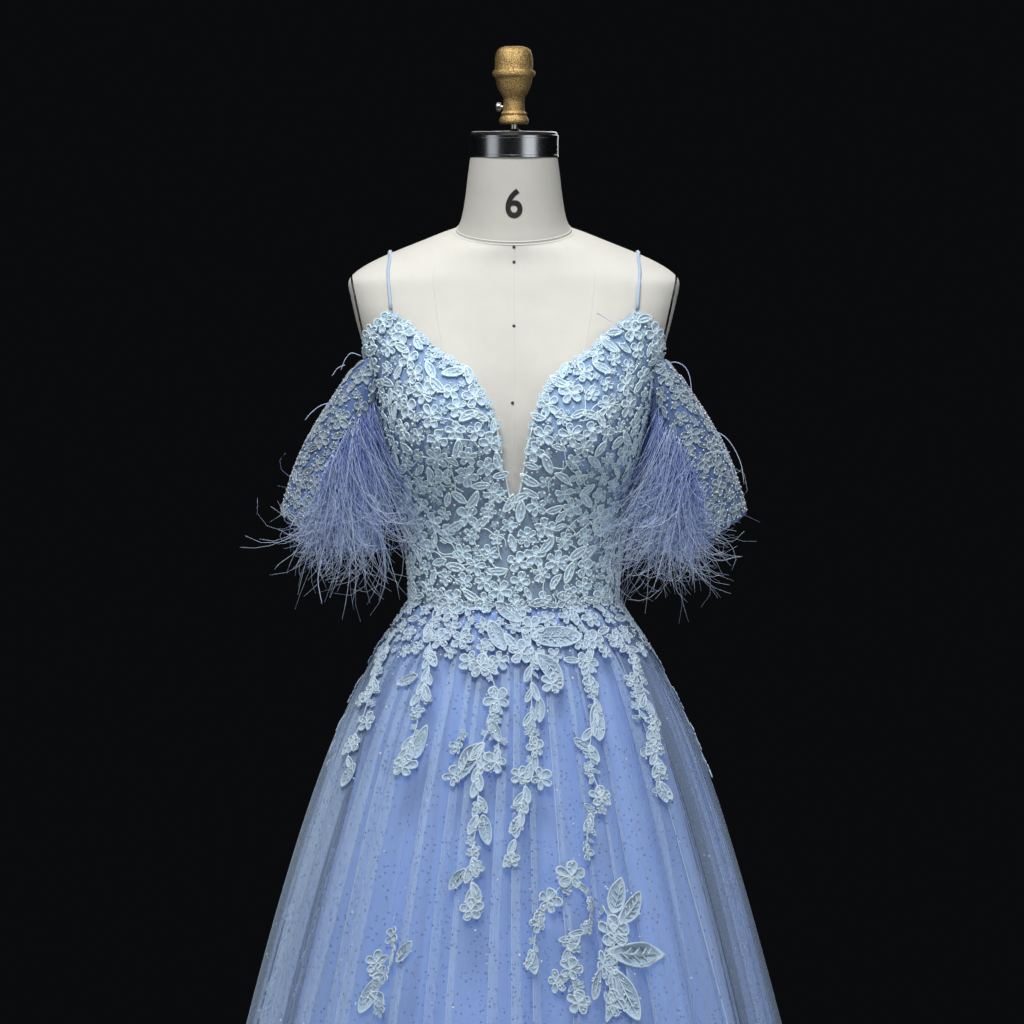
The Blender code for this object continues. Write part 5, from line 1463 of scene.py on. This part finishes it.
PLACED = (
    ("leaf", 410, 680, 0.030, 205), ("flower", 404, 766, 0.0115, 10), ("leaf", 421, 742, 0.040, 262),
    ("blossom", 436, 623, 0.008, 40), ("blossom", 418, 648, 0.008, 0), ("blossom", 430, 655, 0.007, 90),
    ("blossom", 417, 712, 0.0075, 15), ("flower", 441, 640, 0.011, 30), ("flower", 481, 667, 0.0125, 20),
    ("flower", 497, 700, 0.0135, 50), ("flower", 470, 662, 0.0105, 80), ("flower", 462, 640, 0.0115, 5),
    ("leaf", 495, 731, 0.030, 300), ("flower", 495, 762, 0.0125, 75), ("bent", 472, 762, 0.050, 60),
    ("flower", 457, 747, 0.0085, 12), ("flower", 455, 776, 0.0105, 44), ("blossom", 464, 735, 0.0065, 0),
    ("blossom", 478, 807, 0.0070, 0), ("leaf", 485, 830, 0.036, 285), ("blossom", 474, 851, 0.0065, 30),
    ("blossom", 476, 868, 0.0065, 60), ("leaf", 457, 880, 0.026, 235), ("flower", 471, 910, 0.0095, 25),
    ("leaf", 556, 637, 0.060, 0), ("flower", 521, 653, 0.0130, 15), ("flower", 532, 628, 0.0120, 60),
    ("bent", 548, 672, 0.050, 300), ("flower", 552, 684, 0.0110, 0), ("leaf", 540, 710, 0.030, 265),
    ("blossom", 529, 731, 0.0070, 0), ("flower", 535, 748, 0.0105, 30), ("flower", 520, 776, 0.0095, 0),
    ("flower", 541, 779, 0.0115, 40), ("blossom", 521, 808, 0.0060, 0), ("leaf", 516, 828, 0.024, 270),
    ("flower", 512, 860, 0.0080, 20), ("leaf", 508, 612, 0.040, 140), ("leaf", 497, 636, 0.042, 300),
    ("flower", 438, 601, 0.0115, 0), ("flower", 452, 613, 0.0115, 30), ("flower", 566, 600, 0.0110, 0),
    ("flower", 594, 641, 0.0110, 10), ("flower", 587, 663, 0.0115, 60), ("flower", 590, 686, 0.0095, 0),
    ("leaf", 597, 722, 0.046, 262), ("leaf", 583, 745, 0.028, 150), ("blossom", 590, 771, 0.0065, 0),
    ("flower", 601, 797, 0.0105, 15), ("blossom", 592, 812, 0.0060, 0), ("blossom", 589, 828, 0.0065, 40),
    ("flower", 586, 853, 0.0085, 0), ("flower", 615, 641, 0.0100, 0), ("flower", 634, 663, 0.0095, 25),
    ("flower", 653, 724, 0.0095, 0), ("flower", 655, 745, 0.0085, 30), ("flower", 632, 681, 0.0085, 0),
    ("blossom", 660, 769, 0.0070, 0), ("leaf", 662, 792, 0.026, 280), ("leaf", 645, 752, 0.024, 200),
    ("flower", 381, 658, 0.0105, 0), ("flower", 368, 722, 0.0105, 20), ("leaf", 372, 690, 0.026, 240),
    ("flower", 352, 745, 0.0090, 45), ("leaf", 349, 775, 0.030, 255), ("flower", 362, 700, 0.0085, 0),
    ("flower", 571, 876, 0.0115, 10), ("flower", 548, 901, 0.0105, 0), ("flower", 537, 923, 0.0085, 30),
    ("leaf", 618, 896, 0.036, 70), ("leaf", 632, 908, 0.040, 40), ("leaf", 640, 955, 0.056, 352),
    ("leaf", 627, 995, 0.050, 290), ("flower", 614, 932, 0.0135, 15), ("flower", 604, 965, 0.0115, 40),
    ("flower", 612, 1003, 0.0115, 0), ("leaf", 532, 962, 0.024, 100), ("flower", 571, 969, 0.0095, 0),
    ("flower", 557, 982, 0.0095, 30), ("flower", 579, 1003, 0.0100, 10), ("blossom", 589, 905, 0.0070, 0),
    ("blossom", 586, 928, 0.0065, 20), ("blossom", 570, 944, 0.0065, 50), ("leaf", 596, 985, 0.030, 240),
    ("flower", 394, 937, 0.0085, 0), ("flower", 376, 962, 0.0095, 20), ("flower", 385, 975, 0.0080, 50),
    ("leaf", 369, 995, 0.036, 250), ("blossom", 382, 1009, 0.0080, 0), ("leaf", 404, 952, 0.024, 60),
)
KINDS = {"flower": FLOWERS[0], "blossom": BLOSSOM, "leaf": big_leaf, "bent": big_bent}
ROUND = ("flower", "blossom")
# Round motifs are laid a little larger than they were measured, and so are all the motifs low on the skirt
ROUND_GROWS, LOW_GROWS, LOW_FROM = 1.12, 1.2, 860
skirt_parts = []
front_spots = {kind: [] for kind in KINDS}
for kind, x, y, size, turn in PLACED:
    size = size * (ROUND_GROWS if kind in ROUND else 1.0) * (LOW_GROWS if y > LOW_FROM else 1.0)
    front_spots[kind].append((*on_gown(x, y), size, turn))
for kind, spots in front_spots.items():
    skirt_parts.append(laid(gown, KINDS[kind], spots, 0.0012))


# What stands at a step along a stem, by a random share: nothing, buds, a short leaf, or a long leaf
BARE_UNDER, LEAF_OVER, LONG_OVER = 0.16, 0.42, 0.66


def dressed_stem(route, random, step=0.0068):
    """A stem with small leaves, buds and blossoms close along both of its sides."""
    route = np.asarray(route, float)
    knots = np.linspace(0, 1, len(route))
    fine = np.linspace(0, 1, 400)
    last = len(fine) - 1
    u, v = curve(knots, route[:, 0])(fine), curve(knots, route[:, 1])(fine)
    line = read(gown, u, v, "points")
    far = np.concatenate([[0], np.cumsum(np.linalg.norm(np.diff(line, axis=0), axis=1))])
    parts = [cord_on(gown, route, 0.0015, 0.0006)]
    leaves, buds = [], []
    for k, at in enumerate(np.arange(step / 2, far[-1], step)):
        i = int(np.searchsorted(far, at))
        stretch = read(gown, u[i:i + 1], v[i:i + 1], "stretch")[0]
        after, before = min(i + 3, last), max(i - 3, 0)
        ahead = np.array([u[after] - u[before], v[after] - v[before]]) * stretch
        way = math.degrees(math.atan2(ahead[1], ahead[0]))
        side = 1 if k % 2 else -1
        pick = random.uniform(0, 1)
        if pick < BARE_UNDER:
            continue
        long = pick > LONG_OVER
        size = random.uniform(0.017, 0.026) if long else random.uniform(0.008, 0.015)
        turn = way + side * (random.uniform(8, 28) if long else random.uniform(30, 75))
        spot = np.array([math.cos(math.radians(turn)), math.sin(math.radians(turn))]) / stretch
        if pick > LEAF_OVER:
            leaves.append((u[i] + spot[0] * size * 0.45, v[i] + spot[1] * size * 0.45, size, turn))
        else:
            for far_out in (0.0035, 0.0085)[:1 + k % 2]:
                buds.append((u[i] + spot[0] * far_out, v[i] + spot[1] * far_out, random.uniform(0.0036, 0.0064), turn))
    if leaves:
        parts.append(laid(gown, leaf, leaves, 0.0010))
    if buds:
        parts.append(laid(gown, BLOSSOM, buds, 0.0010, 1.2))
    return parts


for stem in STEMS:
    skirt_parts.extend(dressed_stem([on_gown(x, y) for x, y in stem], random))

# A dense border of blossoms and leaves round the waist that thins out downwards
def border_test(u, v):
    return random.uniform(0, 1, u.shape) < np.clip(1.25 + v / 0.05, 0.0, 1)


border = Region((-179, 179, -0.085, 0.006), border_test)
PLACED_SPACING = 0.012
taken = []
for spots in front_spots.values():
    for u, v, size, turn in spots:
        taken.append((read(gown, np.array([u]), np.array([v]), "points")[0], PLACED_SPACING))
for motif, tries, spacing, sizes, turns, lift, rise in (
    (FLOWERS[1], 2600, 0.0222, (0.0085, 0.0120), (0, 360), 0.0008, 1.0),
    (leaf, 3000, 0.013, (0.015, 0.026), (180, 360), 0.0012, 1.0),
    (BLOSSOM, 5000, 0.0098, (0.0040, 0.0060), (0, 360), 0.0008, 1.2),
):
    places = strew(gown, random, tries, spacing, border, taken)
    skirt_parts.append(laid(gown, motif, sized(places, random, *sizes, turns), lift, rise))
lace_piece("skirt_lace_front", skirt_parts, slot="corded_lace",
           stands_for=[f"spray_{n:02d}" for n in range(1, 9)])

# %% Trails on the sides and back
# Each trail's turn, the drop at which it starts, and its length
TRAILS = (
    (94, 0.03, 0.17), (-95, 0.03, 0.17), (108, 0.02, 0.17), (-110, 0.02, 0.16), (124, 0.03, 0.26), (-126, 0.03, 0.24),
    (141, 0.02, 0.20), (-143, 0.02, 0.21), (160, 0.04, 0.30), (-161, 0.03, 0.27), (174, 0.03, 0.16), (-175, 0.03, 0.17),
    (102, 0.34, 0.16), (-100, 0.38, 0.14), (122, 0.36, 0.20), (-122, 0.33, 0.18), (150, 0.38, 0.20), (-152, 0.40, 0.18),
)
back_parts = []
for turn, drop, length in TRAILS:
    steps = np.arange(0, length, 0.021)
    sway = 1.6 * np.sin(steps * 26 + turn)
    route = np.column_stack([turn + sway, -(drop + steps)])
    back_parts.extend(dressed_stem(route, random, 0.0130))
    for k, (u, v) in enumerate(route):
        size = random.uniform(0.0085, 0.0120) * (1 - 0.3 * k / len(route))
        if k % 2 == 0:
            back_parts.append(laid(gown, FLOWERS[k % 4], [(u, v, size, random.uniform(0, 360))], 0.0008))
lace_piece("skirt_lace_back", back_parts, slot="corded_lace", stands_for=["spray_09", "spray_10"])

# %% Skirt beads
bead_at = []
for kind, spots in front_spots.items():
    for u, v, size, turn in spots:
        reach = size * (0.9 if kind in ROUND else 0.35)
        for _ in range(7 if kind == "flower" else 4):
            way, far = random.uniform(0, 2 * math.pi), reach * math.sqrt(random.uniform(0, 1))
            stretch = read(gown, np.array([u]), np.array([v]), "stretch")[0]
            bead_at.append((u + far * math.cos(way) / stretch[0], v + far * math.sin(way) / stretch[1],
                            random.uniform(0.0009, 0.0016), 0))
border_beads = strew(gown, random, 5000, 0.006, border, [])
for u, v in border_beads:
    bead_at.append((u, v, random.uniform(0.0009, 0.0015), 0))
lace_piece("skirt_beads", [laid(gown, ball, bead_at, 0.0022)], pearl)

# %% [markdown]
# ## Lace and feathers on the sleeves
# The outer side of each sleeve has the same lace. Ostrich feathers are sewn along a line from the top of
# the inner side across the front to the cuff. A plume is a bunch of fine barbs that start together and
# hang one way. Each barb is a thin tapered tube that springs forward and then falls, with its own curl.

# %% Sleeve lace
for side, word in SIDES:
    surface = sleeve_surfaces[word]
    taken = []

    def sleeve_test(u, v):
        return (v > 0.02) & (v < 0.98) & (np.abs(-side * u - 16) < 76 + 22 * v)

    region = Region((-118, 118, 0.02, 0.98), sleeve_test)
    parts = []
    for motif, spacing, low, high, tries in (
        (FLOWERS[0], 0.0200, 0.0080, 0.0125, 900), (FLOWERS[2], 0.0190, 0.0075, 0.0110, 900),
        (leaf, 0.0125, 0.014, 0.024, 2000), (BLOSSOM, 0.0095, 0.0036, 0.0060, 4000),
    ):
        places = strew(surface, random, tries, spacing, region, taken)
        parts.append(laid(surface, motif, sized(places, random, low, high), 0.0004))
    lace_piece(f"sleeve_lace_painted_shade_{word}", parts, sleeve_lace_painted_shade, slot="corded_lace")
    places = strew(surface, random, 2600, 0.0055, region, [])
    spots = sized(places, random, 0.0008, 0.0014, None)
    lace_piece(f"sleeve_beads_{word}", [laid(surface, ball, spots, 0.0016)], pearl)

# %% Feathers
# The feather line of each sleeve: share along it, place round the sleeve, place down it, and length
STRIPS = {
    "left": ((0.00, 152, 0.03, 0.190), (0.30, 128, 0.26, 0.172), (0.60, 104, 0.50, 0.130), (1.00, 80, 0.80, 0.080)),
    "right": ((0.00, 142, 0.03, 0.195), (0.25, 118, 0.24, 0.180), (0.50, 92, 0.48, 0.130), (0.78, 64, 0.74, 0.085),
              (1.00, 46, 0.90, 0.055)),
}
BARBS, BARB_STEPS, PLUMES = 1080, 13, 26
LONG_SHARE, FALL, CLEAR_OF_LACE = 0.28, 0.26, 0.0035
for side, word in SIDES:
    random = np.random.default_rng(31 + side)
    strip_around, strip_along, strip_length = table_curves(STRIPS[word])
    # The barbs of one plume start close together and share a direction, so there are gaps between the plumes
    plume_of = random.integers(0, PLUMES, BARBS)
    share = np.clip((plume_of + 0.5) / PLUMES + random.normal(0, 0.016, BARBS), 0, 1) ** 0.9
    around = strip_around(share) + random.normal(0, 6, BARBS)
    along = np.clip(strip_along(share) + random.normal(0, 0.05, BARBS), 0.02, 0.98)
    root = sleeve_points(side, around, along)
    round_it = sleeve_points(side, around + 2, along) - sleeve_points(side, around - 2, along)
    down_it = sleeve_points(side, around, along + 0.01) - sleeve_points(side, around, along - 0.01)
    away = unit(np.cross(round_it, down_it))
    away *= np.sign(away[:, 0] * side * 0.4 - away[:, 1])[:, None]
    away[:, 0] *= 0.15
    long = random.uniform(0, 1, BARBS) < LONG_SHARE
    grown = np.where(long, random.uniform(0.95, 1.28, BARBS), random.uniform(0.45, 0.95, BARBS))
    length = strip_length(share) * grown
    plume_way = random.normal(0, 0.22, PLUMES)[plume_of]
    inward = np.array([-side, 0, 0])
    heading = away * random.uniform(0.15, 0.70, BARBS)[:, None]
    heading += inward * (plume_way + 0.05 + 0.80 * share**1.5 + random.normal(0, 0.22, BARBS))[:, None]
    heading[:, 2] -= random.uniform(0.6, 1.3, BARBS)
    heading = unit(heading)
    # A barb falls, then its tip curls one way or the other
    curl_from = random.uniform(0.30, 0.75, BARBS)
    curl = random.normal(0, 1.0, BARBS) * np.where(long, 1.7, 1.2)
    bow_of_barb = random.normal(0, 0.075, BARBS)
    paths = [root]
    for step in range(1, BARB_STEPS):
        t = step / (BARB_STEPS - 1)
        curled = np.clip((t - curl_from) / (1 - curl_from), 0, 1)
        angle = bow_of_barb + curl * curled * 0.30
        x, z = heading[:, 0].copy(), heading[:, 2].copy()
        heading[:, 0] = x * np.cos(angle) - z * np.sin(angle)
        heading[:, 2] = x * np.sin(angle) + z * np.cos(angle) - FALL * (1 - t) * (1 - curled)
        heading = unit(heading)
        paths.append(clear_of_gown(paths[-1] + heading * length[:, None] / (BARB_STEPS - 1), CLEAR_OF_LACE))
    paths = np.stack(paths, 1)
    taper = np.linspace(1, 0.42, BARB_STEPS)[None, :] * random.uniform(0.00025, 0.00052, BARBS)[:, None]
    points, triangles, along_share = tubes(paths, taper, 3)
    tone = np.where(long, random.uniform(0.30, 1, BARBS), random.uniform(0, 1, BARBS) ** 3.6)
    tone = np.repeat(tone, BARB_STEPS * 3)
    plume = joined(points, triangles, shade=np.clip(tone * 0.9 + 0.35 * along_share**2, 0, 1))
    piece_of(f"feathers_{word}", feather, stands_for=[f"fringe_{word}"], slot="feather", made=plume)

# %% Stray barbs
# A few barbs stand away from the sleeves, as lines of picture points and how far forward they hang
STRAYS = (
    (((361, 356), (352, 353), (346, 358), (341, 370)), -0.03),
    (((334, 402), (322, 405), (312, 412), (305, 420)), -0.03), (((336, 410), (326, 414), (318, 421)), -0.04),
    (((663, 366), (674, 362), (684, 366), (690, 378), (692, 396)), -0.03),
    (((712, 430), (724, 436), (735, 450), (742, 468), (744, 484)), -0.03),
    (((706, 440), (720, 446), (730, 462), (734, 478)), -0.04),
    (((597, 313), (604, 317), (612, 322)), -0.10), (((300, 512), (294, 520), (290, 528)), -0.05),
    (((690, 462), (712, 452), (730, 452)), -0.06), (((322, 560), (318, 580), (322, 604)), -0.08),
    (((667, 378), (680, 384), (688, 392)), -0.05), (((345, 365), (338, 368), (332, 376)), -0.02),
)


def in_picture(x, y, depth):
    """The point of a line of sight that lies at a depth."""
    way = sight(x, y)
    return camera.location + way * ((depth - camera.location.y) / way.y)


STRAY_STEPS = 12
stray_steps = np.linspace(0, 1, STRAY_STEPS)
stray_paths = []
for line, depth in STRAYS:
    spots = np.array([in_picture(x, y, depth) for x, y in line])
    knots = np.linspace(0, 1, len(line))
    stray_paths.append(np.stack([curve(knots, spots[:, k])(stray_steps) for k in range(3)], 1))
thick = np.linspace(0.00065, 0.00035, STRAY_STEPS)[None, :] * np.ones((len(STRAYS), 1))
points, triangles, along_share = tubes(np.stack(stray_paths), thick, 4)
piece_of("stray_barbs", feather, made=joined(points, triangles, shade=0.5 + 0.5 * along_share))

# %% [markdown]
# ## The zip
# A coil zip closes the back. Its teeth are small loops on each side of the middle. The slider and its
# pull are hard parts of the CAD model, so they stay, and only get their metal.

# %% Zip coil
TEETH, TOOTH_TURN, TOOTH_STAGGER, TOOTH_OUT = 150, 0.45, 0.0005, 0.0044
loops = []
for side, word in SIDES:
    for height in np.linspace(0.002, 0.162, TEETH):
        level = height + (TOOTH_STAGGER if side > 0 else 0)
        loops.append(off_body(180 - side * TOOTH_TURN, level, TOOTH_OUT))
turned = motif_from(lathe([(0.4, -0.5), (0.9, -0.3), (0.9, 0.3), (0.4, 0.5)], 6, None, 60), open_below=False)
tooth = turned.points[:, [2, 1, 0]] * np.array([0.0016, 0.0006, 0.0004])
centres = np.array(loops)
points = (centres[:, None] + tooth[None]).reshape(-1, 3)
triangles = (turned.triangles[None] + (np.arange(len(centres)) * len(tooth))[:, None, None]).reshape(-1, 3)
teeth = joined(points, triangles)
piece_of("zip_teeth", coil, stands_for=["zip_coil"], slot="zip_coil", made=teeth)
for node in ("zip_slider", "zip_pull"):
    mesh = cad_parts[node].data
    mesh.materials.clear()
    mesh.materials.append(steel)

# %% [markdown]
# ## What each cloth was cut from
# A sheet of cloth keeps its area when it is sewn, gathered or hung, so the areas printed above for the skirt's layers
# and the sleeves are those of their flat cuts.

# %% [markdown]
# ## Light and floor
# One large soft light stands high in front, two weaker ones fill from the right and the left, and a dim
# one behind draws the edges of the tulle. The room is nearly black, as in the photograph, and the floor
# is a pale disc that isn't part of the object.

# %% Studio
def soft_light(name, place, size, power, colour=(1, 1, 1)):
    """A round area light that looks at the gown."""
    data = bpy.data.lights.new(name, "AREA")
    data.shape = "DISK"
    data.size = size
    data.energy = power
    data.color = colour
    light = bpy.data.objects.new(name, data)
    bpy.context.scene.collection.objects.link(light)
    light.location = place
    light.rotation_euler = (Vector(place) - Vector((0, 0, 1.1))).to_track_quat("Z", "Y").to_euler()


soft_light("key_light", (-0.30, -1.55, 3.90), 1.5, 112, (1.0, 0.995, 0.975))
soft_light("fill_light", (2.3, -2.6, 1.3), 2.2, 26, (0.94, 0.97, 1.0))
soft_light("left_light", (-2.8, -1.8, 1.6), 1.8, 12, (0.94, 0.97, 1.0))
soft_light("back_light", (0.6, 3.0, 2.6), 2.0, 24)
world = bpy.data.worlds.new("room")
world.use_nodes = True
world.node_tree.nodes["Background"].inputs["Color"].default_value = (0.0032, 0.0034, 0.0042, 1)
bpy.context.scene.world = world
fresh()
bpy.ops.mesh.primitive_circle_add(vertices=128, radius=1.9, fill_type="NGON", location=(0, 0, -0.0005))
floor = bpy.context.object
floor.name = "floor"
floor.data.materials.append(worn("pale_floor", 0.7, 0.0, 2.0, (0.66, 0.66, 0.65), (0.74, 0.74, 0.73)))
floor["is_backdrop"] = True
bpy.context.scene.view_settings.view_transform = "Standard"
bpy.context.scene.cycles.transparent_max_bounces = 24

# %% Sizes, and the end
low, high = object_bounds()
print("dressed box", [round(c, 3) for corner in (low, high) for c in corner])
